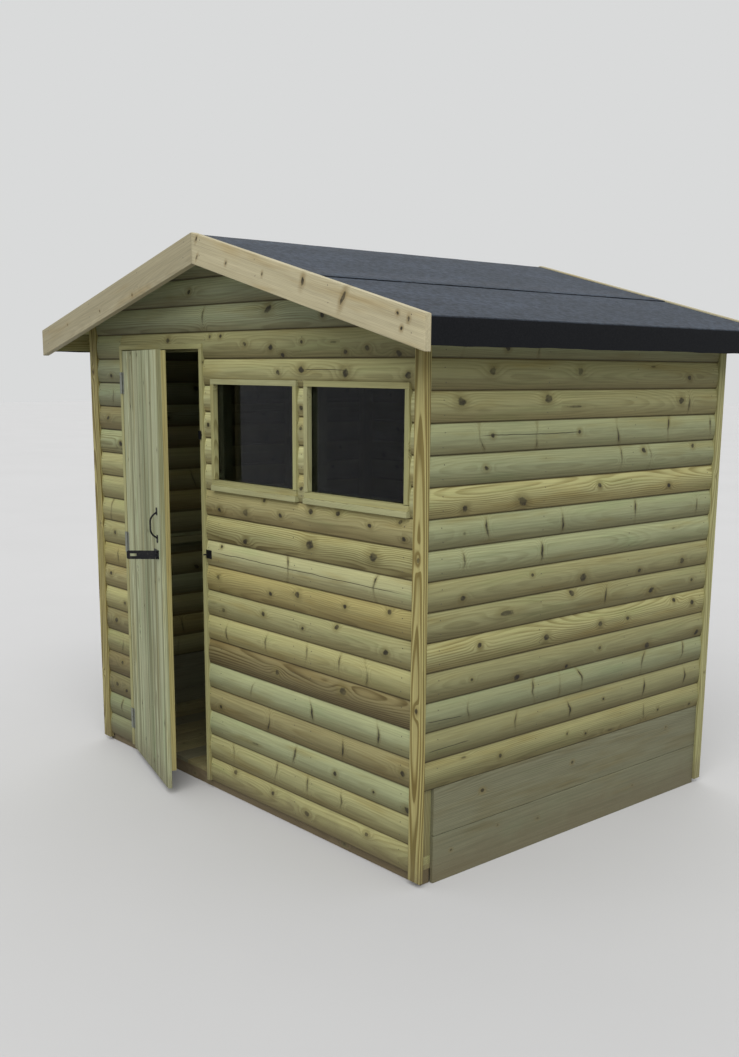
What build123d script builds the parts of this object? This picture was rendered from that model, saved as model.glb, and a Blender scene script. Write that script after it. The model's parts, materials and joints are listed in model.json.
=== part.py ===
from build123d import *
import math
import os

# Timber garden shed with an apex roof, a single door and two fixed windows.
# X runs across the front, Y runs from front to back, Z is up, in millimetres.
# The origin lies on the ground below the middle of the floor.

# Overall sizes
wall_width = 2400.0
wall_depth = 1830.0
apex_height = 2445.0
roof_pitch = 14.67
side_overhang = 161.0
front_overhang = 175.0
rear_overhang = 150.0

# Log-shaped cladding boards
board_cover = 112.5
board_thick = 22.0
lip_setback = 6.5
tail_setback = 11.5
crown_level = 0.43
cladding_base = 40.0
plinth_height = 377.0

# Base and floor
bearer_height = 57.0
bearer_width = 45.0
floor_thick = 19.0
floor_board = 124.0
plinth_thick = 17.0
plinth_start = 70.0

# Wall framing
frame_depth = 45.0
stud_width = 34.0
window_stud = 50.0
joint_gap = 0.3
wall_rail_level = 1000.0
window_rail_level = 740.0

# Corner boards
corner_width = 62.0
corner_thick = 22.0
corner_proud = 6.0
corner_base = 18.0
rear_corner_width = 45.0

# Doorway and its trim
door_inset = 321.0
door_width = 650.0
door_base = 30.0
door_head_drop = 121.1
door_gap = 5.0
lock_side_play = 1.0
trim_width = 22.0
trim_proud = 8.0
stop_thick = 12.0
stop_depth = 20.0

# Door leaf
door_board_thick = 19.0
door_board_count = 6
door_groove = 5.0
batten_thick = 22.0
stile_width = 70.0
rail_height = 95.0
batten_base_drop = 82.0
batten_top_drop = 3.0
middle_rail = 1010.0
door_open_angle = 16.8

# Butt hinges
hinge_height = 100.0
hinge_radius = 5.0
hinge_standoff = 6.0
hinge_plate = 1.7
hinge_leaf_width = 18.0
hinge_low_rise = 153.0
hinge_top_drop = 148.0
hinge_middle = 1077.0
knuckle_gap = 0.4
plate_gap = 0.6

# Pull handle, hasp, staple and turn button
handle_inset = 67.0
handle_rise = 52.0
handle_length = 156.0
handle_pad = 34.0
handle_pad_width = 18.0
handle_bow = 31.0
handle_bend = 42.0
handle_radius = 4.1
wire_sides = 12
hasp_level = 1101.0
hasp_inset = 55.0
hasp_standoff = 9.0
hasp_height = 38.0
hasp_plate_length = 62.0
hasp_plate_thick = 2.5
flap_length = 132.0
flap_thick = 3.0
slot_length = 28.0
slot_height = 12.0
flap_open_angle = 114.0
staple_wire = 5.0
staple_pitch = 11.0
staple_height = 30.0
staple_plate_thick = 2.2
staple_plate_width = 40.0
button_drop = 363.0
button_length = 40.0
button_width = 14.0
button_thick = 5.0
button_spacer = 5.0

# Windows
pier_by_door = 65.0
pier_between = 49.0
pier_by_corner = 25.0
window_drop = 243.1
window_height = 476.0
bead_width = 22.0
bead_depth = 24.0
sill_height = 46.0
sill_proud = 14.0
glass_thick = 4.0
glass_lap = 18.0

# Roof
roof_board_thick = 12.0
roof_board = 110.0
felt_thick = 3.0
felt_lap_reach = 802.0
felt_lap_width = 85.0
felt_drop = 95.0
fascia_thick = 20.0
barge_thick = 30.0
barge_depth = 117.6
barge_rise = 21.0
rafter_depth = 34.0
ridge_width = 45.0
ridge_depth = 95.0
purlin_depth = 70.0
purlin_reach = 620.0

# Positions that follow from the sizes above
front_y = -wall_depth / 2
rear_y = wall_depth / 2
right_x = wall_width / 2
inner_x = right_x - board_thick
frame_x = inner_x - frame_depth
frame_front = front_y + board_thick
room_front = frame_front + frame_depth
frame_rear = rear_y - board_thick
room_rear = frame_rear - frame_depth
floor_top = bearer_height + floor_thick
pitch = math.radians(roof_pitch)
rise = math.tan(pitch)
underside = apex_height - barge_rise / math.cos(pitch)
eave_x = right_x + side_overhang
roof_front = front_y - front_overhang + barge_thick
roof_rear = rear_y + rear_overhang - barge_thick
clad_left = -right_x + corner_width
clad_right = right_x - corner_width
wall_top = underside - right_x * rise

door_left = -right_x + door_inset
door_top = wall_top - door_head_drop
trim_left = door_left - door_gap
trim_right = door_left + door_width + door_gap + lock_side_play
trim_top = door_top + door_gap
door_outer_left = trim_left - trim_width
door_outer_right = trim_right + trim_width
batten_base = door_base + batten_base_drop
batten_top = door_top - batten_top_drop
hinge_levels = (door_base + hinge_low_rise, hinge_middle, door_top - hinge_top_drop)
button_level = door_top - button_drop

window_top = wall_top - window_drop
window_base = window_top - window_height
window_strip = clad_right - door_outer_right - pier_by_door - pier_between - pier_by_corner
window_width = window_strip / 2
window_lefts = (
    door_outer_right + pier_by_door,
    door_outer_right + pier_by_door + window_width + pier_between,
)



def course_level(index):
    """Height of the lower lip of a cladding course."""
    return cladding_base + index * board_cover


def course_at(level):
    """Number of the cladding course that covers a height."""
    return int((level + 0.01 - cladding_base) // board_cover)


side_first_course = course_at(plinth_height + 1)
gable_course = course_at(trim_top + trim_width) + 1
gable_base = course_level(gable_course)


def roof_under(x):
    """Height of the underside of the roof boards at a distance from the ridge."""
    return underside - abs(x) * rise


def block(x0, x1, y0, y1, z0, z1):
    """Square-edged bar between two corners."""
    centre = Pos((x0 + x1) / 2, (y0 + y1) / 2, (z0 + z1) / 2)
    return centre * Box(x1 - x0, y1 - y0, z1 - z0)


def prism_along_y(points, y0, y1):
    """Section drawn in X and Z, drawn out from y0 to y1."""
    outline = make_face(Polyline(*points, close=True))
    plane = Plane(origin=(0, y1, 0), x_dir=(1, 0, 0), z_dir=(0, -1, 0))
    return extrude(plane * outline, amount=y1 - y0)


def prism_along_x(outline, x0, x1, outer_y):
    """Section drawn as setback and height, drawn out from x0 to x1."""
    plane = Plane(origin=(x0, outer_y, 0), x_dir=(0, 1, 0), z_dir=(1, 0, 0))
    return extrude(plane * outline, amount=x1 - x0)


def save(name, *solids):
    """Write one node from its solids."""
    shape = solids[0] if len(solids) == 1 else Compound(children=list(solids))
    export_step(shape, "parts/" + name + ".step")


def clad_section(first, last, z0, z1):
    """Section of overlapping log-shaped boards, as setback from the wall face and height."""
    edges = []
    for index in range(first, last + 1):
        low = course_level(index)
        high = low + board_cover
        crown = low + crown_level * board_cover
        edges.append(ThreePointArc((lip_setback, low), (0, crown), (tail_setback, high)))
        if index < last:
            edges.append(Line((tail_setback, high), (lip_setback, high)))
    top = course_level(last) + board_cover
    bottom = course_level(first)
    edges.append(Line((tail_setback, top), (board_thick, top)))
    edges.append(Line((board_thick, top), (board_thick, bottom)))
    edges.append(Line((board_thick, bottom), (lip_setback, bottom)))
    section = make_face(edges)
    if z0 > bottom + 0.01 or z1 < top - 0.01:
        window = Pos(board_thick / 2, (z0 + z1) / 2) * Rectangle(board_thick * 2, z1 - z0)
        section = section & window
    return section


def front_panel(x0, x1, first, last, z0, z1):
    """Panel of cladding on the front plane."""
    return prism_along_x(clad_section(first, last, z0, z1), x0, x1, front_y)


def under_roof(margin=0.0):
    """Space below the roof boards, for cutting boards to the slope."""
    reach = wall_width
    points = [
        (-reach, 0),
        (reach, 0),
        (reach, roof_under(reach) - margin),
        (0, underside - margin),
        (-reach, roof_under(reach) - margin),
    ]
    return prism_along_y(points, -wall_depth, wall_depth)


def post(x0, x1, y0, y1, z0, drop):
    """Upright with its top cut to the slope, a stated distance below the roof boards."""
    points = [(x0, z0), (x1, z0), (x1, roof_under(x1) - drop), (x0, roof_under(x0) - drop)]
    return prism_along_y(points, y0, y1)


def slope_point(distance, height):
    """Point at a distance down the right slope and a height square to it."""
    x = distance * math.cos(pitch) + height * math.sin(pitch)
    z = underside - distance * math.sin(pitch) + height * math.cos(pitch)
    return (x, z)


def slope_at_x(x, height):
    """Point of a line parallel to the right slope, at a stated X."""
    return (x, underside + height / math.cos(pitch) - x * rise)


def mirrored(shape):
    """The same piece on the left side."""
    return mirror(shape, about=Plane.YZ)


# Base, floor and plinth


def floor_bearers():
    """Five bearers across the width, the outer ones flush with the floor's edges."""
    span = frame_rear - frame_front - bearer_width
    bars = []
    for index in range(5):
        y0 = frame_front + index * span / 4
        bars.append(block(-inner_x, inner_x, y0, y0 + bearer_width, 0, bearer_height))
    return bars


def floor_boards():
    """Floor of tongued boards with a small V at each joint."""
    count = int(2 * inner_x // floor_board)
    pitch_x = 2 * inner_x / count
    points = [(-inner_x, bearer_height), (inner_x, bearer_height), (inner_x, floor_top)]
    for index in range(count - 1, 0, -1):
        x = -inner_x + index * pitch_x
        points += [(x + 2, floor_top), (x, floor_top - 2), (x - 2, floor_top)]
    points.append((-inner_x, floor_top))
    return prism_along_y(points, frame_front, frame_rear)


def side_plinths():
    """Two boards on edge along the foot of each side."""
    top = course_level(side_first_course) - 0.5
    half = top / 2
    y0 = front_y + plinth_start
    y1 = rear_y - rear_corner_width
    low = block(inner_x, inner_x + plinth_thick, y0, y1, 0, half - 1)
    high = block(inner_x, inner_x + plinth_thick, y0, y1, half + 1, top)
    return [low, high, mirrored(low), mirrored(high)]


# Cladding


def side_cladding():
    """Right side wall, from the plinth to the roof."""
    length = wall_depth - corner_thick + corner_proud - rear_corner_width
    top = roof_under(right_x)
    last = course_at(top)
    section = clad_section(side_first_course, last, course_level(side_first_course), top)
    panel = prism_along_x(section, 0, length, 0)
    start = front_y - corner_proud + corner_thick
    return Pos(right_x, start, 0) * Rot(0, 0, 90) * panel


def rear_wall_cladding():
    """Rear wall below the gable."""
    half = right_x + corner_proud - corner_thick
    panel = prism_along_x(clad_section(0, gable_course - 1, cladding_base, gable_base), -half, half, 0)
    return (Pos(0, rear_y, 0) * Rot(0, 0, 180) * panel) & under_roof()


def gable_panel(half):
    """Boards that fill a gable, cut to the slope of the roof."""
    last = course_at(underside)
    section = clad_section(gable_course, last, gable_base, course_level(last + 1))
    return prism_along_x(section, -half, half, 0)


def front_gable():
    """Gable over the door and windows."""
    return (Pos(0, front_y, 0) * gable_panel(clad_right)) & under_roof()


def rear_gable():
    """Gable on the rear wall."""
    half = right_x + corner_proud - corner_thick
    return (Pos(0, rear_y, 0) * Rot(0, 0, 180) * gable_panel(half)) & under_roof()


def cladding_left():
    """Front cladding from the left corner board to the doorway."""
    panel = front_panel(clad_left, door_outer_left, 0, gable_course - 1, cladding_base, gable_base)
    return panel & under_roof()


def cladding_over_door():
    """Front cladding between the doorway and the gable."""
    foot = trim_top + trim_width
    return front_panel(door_outer_left, door_outer_right, course_at(foot), gable_course - 1, foot, gable_base)


def cladding_below_windows():
    """Front cladding from the foot of the wall to the window sills."""
    last = course_at(window_base - 1)
    return front_panel(door_outer_right, clad_right, 0, last, cladding_base, window_base)


def cladding_over_windows():
    """Front cladding between the windows and the gable."""
    first = course_at(window_top)
    panel = front_panel(door_outer_right, clad_right, first, gable_course - 1, window_top, gable_base)
    return panel & under_roof()


def window_piers():
    """Narrow upright strips of cladding beside and between the windows."""
    first = course_at(window_base)
    last = course_at(window_top)
    edges = [door_outer_right]
    for left in window_lefts:
        edges += [left, left + window_width]
    edges.append(clad_right)
    strips = []
    for x0, x1 in zip(edges[0::2], edges[1::2]):
        strips.append(front_panel(x0, x1, first, last, window_base, window_top))
    return strips


def front_corner_boards():
    """Boards on the front face at both corners."""
    y0 = front_y - corner_proud
    right = post(clad_right, right_x, y0, y0 + corner_thick, corner_base, 0)
    return [right, mirrored(right)]


def rear_corner_boards():
    """Boards on the side faces at both rear corners."""
    x1 = right_x + corner_proud
    right = post(x1 - corner_thick, x1, rear_y - rear_corner_width, rear_y, corner_base, 0)
    return [right, mirrored(right)]


# Framing


def wall_rafters(y0, y1):
    """Pair of sloping bars below the roof boards of a gable."""
    points = [
        (joint_gap, underside - joint_gap * rise),
        (inner_x, roof_under(inner_x)),
        (inner_x, roof_under(inner_x) - rafter_depth / math.cos(pitch)),
        (joint_gap, underside - rafter_depth / math.cos(pitch)),
    ]
    right = prism_along_y(points, y0, y1)
    return [right, mirrored(right)]


def front_framing():
    """Studs and rails behind the front cladding."""
    y0, y1 = frame_front, room_front
    stud_foot = floor_top + stud_width + joint_gap
    drop = rafter_depth / math.cos(pitch) + joint_gap
    bars = wall_rafters(y0, y1)
    bars.append(block(-inner_x, trim_left, y0, y1, floor_top, floor_top + stud_width))
    bars.append(block(trim_right, inner_x, y0, y1, floor_top, floor_top + stud_width))
    spans = [(-inner_x, -inner_x + stud_width), (trim_left - stud_width, trim_left)]
    spans.append((trim_right, trim_right + stud_width))
    glazed = []
    for left in window_lefts:
        inner_left = left + bead_width + stud_width
        inner_right = left + window_width - bead_width - stud_width
        spans.append((inner_left - window_stud, inner_left))
        spans.append((inner_right, inner_right + window_stud))
        glazed.append((inner_left + joint_gap, inner_right - joint_gap))
    spans.append((inner_x - stud_width, inner_x))
    for x0, x1 in spans:
        bars.append(post(x0, x1, y0, y1, stud_foot, drop))
    for x0, x1 in glazed:
        sill_top = window_base + sill_height
        head_foot = window_top - bead_width
        bars.append(block(x0, x1, y0, y1, sill_top - frame_depth, sill_top))
        bars.append(block(x0, x1, y0, y1, head_foot, head_foot + frame_depth))
        bars.append(block(x0, x1, y0, y1, window_rail_level, window_rail_level + stud_width))
    rail_top = wall_rail_level + stud_width
    rail_left = -inner_x + stud_width + joint_gap
    rail_right = trim_left - stud_width - joint_gap
    bars.append(block(rail_left, rail_right, y0, y1, wall_rail_level, rail_top))
    bars.append(block(trim_left + joint_gap, trim_right - joint_gap, y0, y1, trim_top, trim_top + frame_depth))
    king_foot = window_top - bead_width + frame_depth + joint_gap
    half = ridge_width / 2
    king = [(-half, king_foot), (half, king_foot), (half, roof_under(half) - drop)]
    king += [(0, underside - drop), (-half, roof_under(half) - drop)]
    bars.append(prism_along_y(king, y0, y1))
    return bars


def rear_framing():
    """Studs and rails behind the rear cladding."""
    y0, y1 = room_rear, frame_rear
    drop = rafter_depth / math.cos(pitch) + joint_gap
    foot = floor_top + stud_width + joint_gap
    bars = wall_rafters(y0, y1)
    bars.append(block(-inner_x, inner_x, y0, y1, floor_top, floor_top + stud_width))
    quarter = wall_width / 4
    lefts = [-inner_x, -quarter, quarter - stud_width, inner_x - stud_width]
    for x0 in lefts:
        bars.append(post(x0, x0 + stud_width, y0, y1, foot, drop))
    half = ridge_width / 2
    king = [(-half, foot), (half, foot), (half, roof_under(half) - drop)]
    king += [(0, underside - drop), (-half, roof_under(half) - drop)]
    bars.append(prism_along_y(king, y0, y1))
    rail_edges = [
        (lefts[0] + stud_width, lefts[1]),
        (lefts[1] + stud_width, -half),
        (half, lefts[2]),
        (lefts[2] + stud_width, lefts[3]),
    ]
    rail_top = wall_rail_level + stud_width
    for x0, x1 in rail_edges:
        bars.append(block(x0 + joint_gap, x1 - joint_gap, y0, y1, wall_rail_level, rail_top))
    return bars


def side_framing():
    """Studs and rails behind the right side cladding."""
    x0, x1 = frame_x, inner_x
    y0, y1 = room_front, room_rear
    plate_foot = roof_under(inner_x) - frame_depth
    bars = [block(x0, x1, y0, y1, floor_top, floor_top + stud_width)]
    plate = [(x0, plate_foot), (x1, plate_foot), (x1, roof_under(x1)), (x0, roof_under(x0))]
    bars.append(prism_along_y(plate, y0, y1))
    pitch_y = (y1 - y0 - stud_width) / 3
    for index in range(4):
        start = y0 + index * pitch_y
        foot = floor_top + stud_width + joint_gap
        bars.append(block(x0, x1, start, start + stud_width, foot, plate_foot - joint_gap))
        if index < 3:
            a = start + stud_width + joint_gap
            b = start + pitch_y - joint_gap
            bars.append(block(x0, x1, a, b, wall_rail_level, wall_rail_level + stud_width))
    return bars


# Doorway trim


def door_trim():
    """Planed strips round the doorway that cover the cut ends of the cladding."""
    y0 = front_y - trim_proud
    foot, head_foot = cladding_base, trim_top - joint_gap
    left = block(door_outer_left, trim_left, y0, frame_front, foot, head_foot)
    right = block(trim_right, door_outer_right, y0, frame_front, foot, head_foot)
    head = block(door_outer_left, door_outer_right, y0, frame_front, trim_top, trim_top + trim_width)
    return [left, right, head]


def door_stops():
    """Thin strips inside the doorway that the closed door rests near."""
    y0 = front_y - trim_proud + door_board_thick + batten_thick + door_gap
    y1 = y0 + stop_depth
    head_foot = trim_top - stop_thick
    left = block(trim_left, trim_left + stop_thick, y0, y1, floor_top, head_foot - joint_gap)
    right = block(trim_right - stop_thick, trim_right, y0, y1, floor_top, head_foot - joint_gap)
    head = block(trim_left, trim_right, y0, y1, head_foot, trim_top)
    return [left, right, head]


# Windows


def window_frame(left):
    """Beads and stepped sill round one fixed pane."""
    right = left + window_width
    y0 = front_y - trim_proud
    y1 = y0 + bead_depth
    sill_top = window_base + sill_height
    head_foot = window_top - bead_width
    uprights = []
    for x0 in (left, right - bead_width):
        foot = sill_top + joint_gap
        uprights.append(block(x0, x0 + bead_width, y0, y1, foot, head_foot - joint_gap))
    head = block(left, right, y0, y1, head_foot, window_top)
    step = sill_height / 2
    sill = make_face(
        Polyline(
            (-sill_proud, window_base),
            (board_thick - joint_gap, window_base),
            (board_thick - joint_gap, sill_top - bead_width),
            (bead_depth - trim_proud, sill_top - bead_width),
            (bead_depth - trim_proud, sill_top),
            (-trim_proud + 2, sill_top - 2),
            (-trim_proud, sill_top - 4),
            (-trim_proud, window_base + step + 2),
            (-sill_proud, window_base + step - 2),
            close=True,
        )
    )
    return uprights + [head, prism_along_x(sill, left, right, front_y)]


def window_panes():
    """Two fixed sheets held between the beads and the studs."""
    panes = []
    y1 = frame_front - joint_gap
    y0 = y1 - glass_thick
    for left in window_lefts:
        x0 = left + bead_width - glass_lap
        x1 = left + window_width - bead_width + glass_lap
        z0 = window_base + sill_height - glass_lap
        z1 = window_top - bead_width + glass_lap
        panes.append(block(x0, x1, y0, y1, z0, z1))
    return panes


# Roof


def roof_timbers():
    """Ridge beam and one purlin under each slope, from gable to gable."""
    half = ridge_width / 2
    foot = underside - ridge_depth
    points = [(-half, foot), (half, foot), (half, roof_under(half)), (0, underside), (-half, roof_under(half))]
    ridge = prism_along_y(points, room_front, room_rear)
    low = purlin_reach - stud_width / 2
    high = purlin_reach + stud_width / 2
    section = [
        slope_point(low, -purlin_depth),
        slope_point(high, -purlin_depth),
        slope_point(high, 0),
        slope_point(low, 0),
    ]
    purlin = prism_along_y(section, room_front, room_rear)
    return [ridge, purlin, mirrored(purlin)]


def roof_boards():
    """Boards of the right slope, with a V at each joint on the underside."""
    depth = roof_rear - roof_front
    count = round(depth / roof_board)
    step = depth / count
    points = [(roof_front, roof_board_thick), (roof_front, 0)]
    for index in range(1, count):
        y = roof_front + index * step
        points += [(y - 2, 0), (y, 2.5), (y + 2, 0)]
    points += [(roof_rear, 0), (roof_rear, roof_board_thick)]
    along = (math.cos(pitch), 0, -math.sin(pitch))
    plane = Plane(origin=(0, 0, underside), x_dir=(0, 1, 0), z_dir=along)
    plane = plane.offset(-roof_board)
    length = eave_x / math.cos(pitch) + 2 * roof_board
    slab = extrude(plane * make_face(Polyline(*points, close=True)), amount=length)
    bound = block(joint_gap, eave_x - felt_thick, roof_front - 1, roof_rear + 1, 0, apex_height)
    return slab & bound


def eaves_fascia():
    """Board on edge below the roof boards at the right eave."""
    outer = eave_x - felt_thick
    inner = outer - fascia_thick
    foot = slope_at_x(eave_x, roof_board_thick + felt_thick)[1] - felt_drop + 5
    points = [(inner, foot), (outer, foot), (outer, roof_under(outer)), (inner, roof_under(inner))]
    return prism_along_y(points, roof_front, roof_rear)


def felt_eave():
    """Lower strip of felt on the right slope, folded down over the fascia."""
    low = roof_board_thick
    high = roof_board_thick + felt_thick
    start = felt_lap_reach - felt_lap_width
    corner_out = slope_at_x(eave_x, high)
    corner_in = slope_at_x(eave_x - felt_thick, low)
    foot = corner_out[1] - felt_drop
    a = slope_point(start, low)
    b = slope_point(start, high)
    fold = 7.0
    bend_out = slope_at_x(eave_x - fold, high)
    drop_out = (eave_x, corner_out[1] - fold)
    middle = (eave_x - fold * 0.24, corner_out[1] + fold * rise * 0.5 - fold * 0.27)
    edges = [
        Line(a, b),
        Line(b, bend_out),
        ThreePointArc(bend_out, middle, drop_out),
        Line(drop_out, (eave_x, foot)),
        Line((eave_x, foot), (eave_x - felt_thick, foot)),
        Line((eave_x - felt_thick, foot), corner_in),
        Line(corner_in, a),
    ]
    plane = Plane(origin=(0, roof_rear, 0), x_dir=(1, 0, 0), z_dir=(0, -1, 0))
    return extrude(plane * make_face(edges), amount=roof_rear - roof_front)


def felt_ridge():
    """Upper strip of felt over the ridge, lapping onto the lower strips."""
    low = roof_board_thick
    mid = low + felt_thick
    high = mid + felt_thick
    start = felt_lap_reach - felt_lap_width - joint_gap
    right = [
        slope_point(start - 15, mid),
        slope_point(start + 1, high),
        slope_point(felt_lap_reach, high),
        slope_point(felt_lap_reach, mid),
        slope_point(start, mid),
        slope_point(start, low),
    ]
    left = [(-x, z) for x, z in reversed(right)]
    top = (0, underside + mid / math.cos(pitch))
    bottom = (0, underside + low / math.cos(pitch))
    return prism_along_y([top] + right + [bottom] + left, roof_front, roof_rear)


def bargeboards(y0, y1):
    """Pair of planed boards, mitred at the apex and cut upright at the eaves."""
    points = [
        slope_at_x(joint_gap / 2, barge_rise),
        slope_at_x(eave_x, barge_rise),
        slope_at_x(eave_x, barge_rise - barge_depth),
        slope_at_x(joint_gap / 2, barge_rise - barge_depth),
    ]
    right = prism_along_y(points, y0, y1)
    return [right, mirrored(right)]


# Door, drawn closed and then swung to its place

hinge_x = door_left - door_gap / 2
hinge_y = front_y - trim_proud - hinge_standoff
leaf_face = front_y - trim_proud
flap_axis_x = door_left + door_width - hasp_inset
flap_axis_y = leaf_face - hasp_standoff
handle_low = hasp_level + handle_rise
handle_high = handle_low + handle_length


def swing(shape):
    """Turn a piece of the closed door about the hinge line to the open rest angle."""
    there = Pos(hinge_x, hinge_y, 0)
    back = Pos(-hinge_x, -hinge_y, 0)
    return there * Rot(0, 0, -door_open_angle) * back * shape


def fold(shape):
    """Turn the hasp flap back about its own knuckle, on the closed door."""
    there = Pos(flap_axis_x, flap_axis_y, 0)
    back = Pos(-flap_axis_x, -flap_axis_y, 0)
    return there * Rot(0, 0, -flap_open_angle) * back * shape


def door_boards():
    """Upright tongued boards with a V at each joint."""
    y0 = leaf_face
    y1 = leaf_face + door_board_thick
    step = door_width / door_board_count
    half = door_groove / 2
    points = [(door_left, y1), (door_left, y0)]
    for index in range(1, door_board_count):
        x = door_left + index * step
        points += [(x - half, y0), (x, y0 + half), (x + half, y0)]
    points += [(door_left + door_width, y0), (door_left + door_width, y1)]
    outline = make_face(Polyline(*points, close=True))
    return swing(extrude(Plane.XY.offset(door_base) * outline, amount=door_top - door_base))


def door_battens():
    """Stiles, rails and braces on the back of the door boards."""
    y0 = leaf_face + door_board_thick
    y1 = y0 + batten_thick
    x0 = door_left
    x1 = door_left + door_width
    inner_left = x0 + stile_width + joint_gap
    inner_right = x1 - stile_width - joint_gap
    bars = [
        block(x0, x0 + stile_width, y0, y1, batten_base, batten_top),
        block(x1 - stile_width, x1, y0, y1, batten_base, batten_top),
    ]
    levels = (batten_base, middle_rail, batten_top - rail_height)
    for z0 in levels:
        bars.append(block(inner_left, inner_right, y0, y1, z0, z0 + rail_height))
    for z0, z1 in zip(levels[:-1], levels[1:]):
        foot = z0 + rail_height + joint_gap
        head = z1 - joint_gap
        brace = [
            (inner_left, foot),
            (inner_left + rail_height, foot),
            (inner_right, head),
            (inner_right - rail_height, head),
        ]
        bars.append(prism_along_y(brace, y0, y1))
    return [swing(bar) for bar in bars]


def hinge_barrels(level, odd):
    """Barrel lengths of one hinge leaf: three on the frame leaf, two on the door leaf."""
    part = hinge_height / 5
    low = level - hinge_height / 2
    barrels = []
    for index in range(5):
        if index % 2 == odd:
            z0 = low + index * part + knuckle_gap / 2
            barrel = Cylinder(hinge_radius, part - knuckle_gap)
            barrels.append(Pos(hinge_x, hinge_y, z0 + (part - knuckle_gap) / 2) * barrel)
    return barrels


def hinge_leaf(level, on_door):
    """One leaf of a butt hinge with its barrels."""
    y1 = leaf_face
    y0 = y1 - hinge_plate
    z0 = level - hinge_height / 2
    z1 = level + hinge_height / 2
    side = 1 if on_door else -1
    near = hinge_radius + plate_gap
    edge_a = hinge_x + side * near
    edge_b = edge_a + side * hinge_leaf_width
    leaf = block(min(edge_a, edge_b), max(edge_a, edge_b), y0, y1, z0, z1)
    odd = 1 if on_door else 0
    part = hinge_height / 5
    for index, barrel in enumerate(hinge_barrels(level, odd)):
        number = 2 * index + odd
        web_z0 = z0 + number * part + knuckle_gap / 2
        web_z1 = web_z0 + part - knuckle_gap
        web = block(min(hinge_x, edge_a), max(hinge_x, edge_a), y0, y1 - joint_gap, web_z0, web_z1)
        leaf = leaf + barrel + web
    return leaf


def pull_handle():
    """Bowed bar on two flat pads."""
    x = door_left + door_width - handle_inset
    face = leaf_face
    mid_y = face - handle_bow
    foot = handle_low + handle_pad * 0.6
    head = handle_high - handle_pad * 0.6
    path = FilletPolyline(
        (x, face - 1.5, foot),
        (x, mid_y, foot + 22),
        (x, mid_y, head - 22),
        (x, face - 1.5, head),
        radius=handle_bend,
    )
    section = Plane(origin=path @ 0, z_dir=path % 0) * RegularPolygon(handle_radius, wire_sides)
    bow = sweep(section, path=path)
    trimmed = bow & block(x - 40, x + 40, face - 80, face, handle_low, handle_high)
    shape = trimmed
    for z0 in (handle_low, handle_high - handle_pad):
        pad = block(x - handle_pad_width / 2, x + handle_pad_width / 2, face - 3, face, z0, z0 + handle_pad)
        pad = chamfer(pad.edges().filter_by(Axis.Y), 4)
        shape = shape + pad
    return swing(shape)


def hasp_plate():
    """Plate of the hasp on the door, with two of its knuckles."""
    x0 = flap_axis_x - hasp_standoff - hasp_plate_length
    x1 = flap_axis_x + 6
    z0 = hasp_level - hasp_height / 2
    z1 = hasp_level + hasp_height / 2
    plate = block(x0, x1, leaf_face - hasp_plate_thick, leaf_face, z0, z1)
    part = hasp_height / 3
    for index in (0, 2):
        low = z0 + index * part
        barrel = Pos(flap_axis_x, flap_axis_y, low + part / 2) * Cylinder(4.5, part - 0.6)
        foot = block(
            flap_axis_x - 4,
            flap_axis_x + 4,
            flap_axis_y,
            leaf_face - hasp_plate_thick,
            low + 0.3,
            low + part - 0.3,
        )
        plate = plate + barrel + foot
    return swing(plate)


def hasp_flap():
    """Slotted flap of the hasp with its middle knuckle."""
    z0 = hasp_level - hasp_height / 2
    z1 = hasp_level + hasp_height / 2
    part = hasp_height / 3
    y0 = flap_axis_y - flap_thick / 2
    y1 = flap_axis_y + flap_thick / 2
    start = flap_axis_x + 5.5
    body = block(start, flap_axis_x + flap_length, y0, y1, z0, z1)
    body = fillet(body.edges().filter_by(Axis.Y).sort_by(Axis.X)[-2:], 8)
    tongue = block(flap_axis_x, start, y0, y1, z0 + part + 0.6, z1 - part - 0.6)
    barrel = Pos(flap_axis_x, flap_axis_y, hasp_level) * Cylinder(4.5, part - 1.2)
    centre = staple_x() - flap_axis_x
    slot = block(
        flap_axis_x + centre - slot_length / 2,
        flap_axis_x + centre + slot_length / 2,
        y0 - 5,
        y1 + 5,
        hasp_level - slot_height / 2,
        hasp_level + slot_height / 2,
    )
    return swing(fold(body + tongue + barrel - slot))


def staple_x():
    """Middle of the staple, to the right of the doorway trim."""
    return trim_right + trim_width + joint_gap + staple_plate_width / 2


def hasp_staple():
    """Staple on its plate beside the doorway."""
    x = staple_x()
    y1 = front_y - 0.2
    y0 = y1 - staple_plate_thick
    z0 = hasp_level - hasp_height / 2
    z1 = hasp_level + hasp_height / 2
    plate = block(x - staple_plate_width / 2, x + staple_plate_width / 2, y0, y1, z0, z1)
    half = staple_pitch / 2
    turn = y1 - staple_height + half + staple_wire / 2
    path = Line((x - half, y1 - 1, hasp_level), (x - half, turn, hasp_level))
    path += ThreePointArc(
        (x - half, turn, hasp_level),
        (x, turn - half, hasp_level),
        (x + half, turn, hasp_level),
    )
    path += Line((x + half, turn, hasp_level), (x + half, y1 - 1, hasp_level))
    ring = RegularPolygon(staple_wire / 2, wire_sides)
    section = Plane(origin=(x - half, y1 - 1, hasp_level), z_dir=(0, -1, 0)) * ring
    return plate + sweep(section, path=path)


def button_pivot():
    """Spacer that holds the turn button clear of the trim."""
    x = trim_right + trim_width / 2
    y1 = leaf_face
    spacer = Cylinder(5, button_spacer - joint_gap)
    middle = y1 - (button_spacer - joint_gap) / 2
    return Pos(x, middle, button_level) * Rot(90, 0, 0) * spacer


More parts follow.
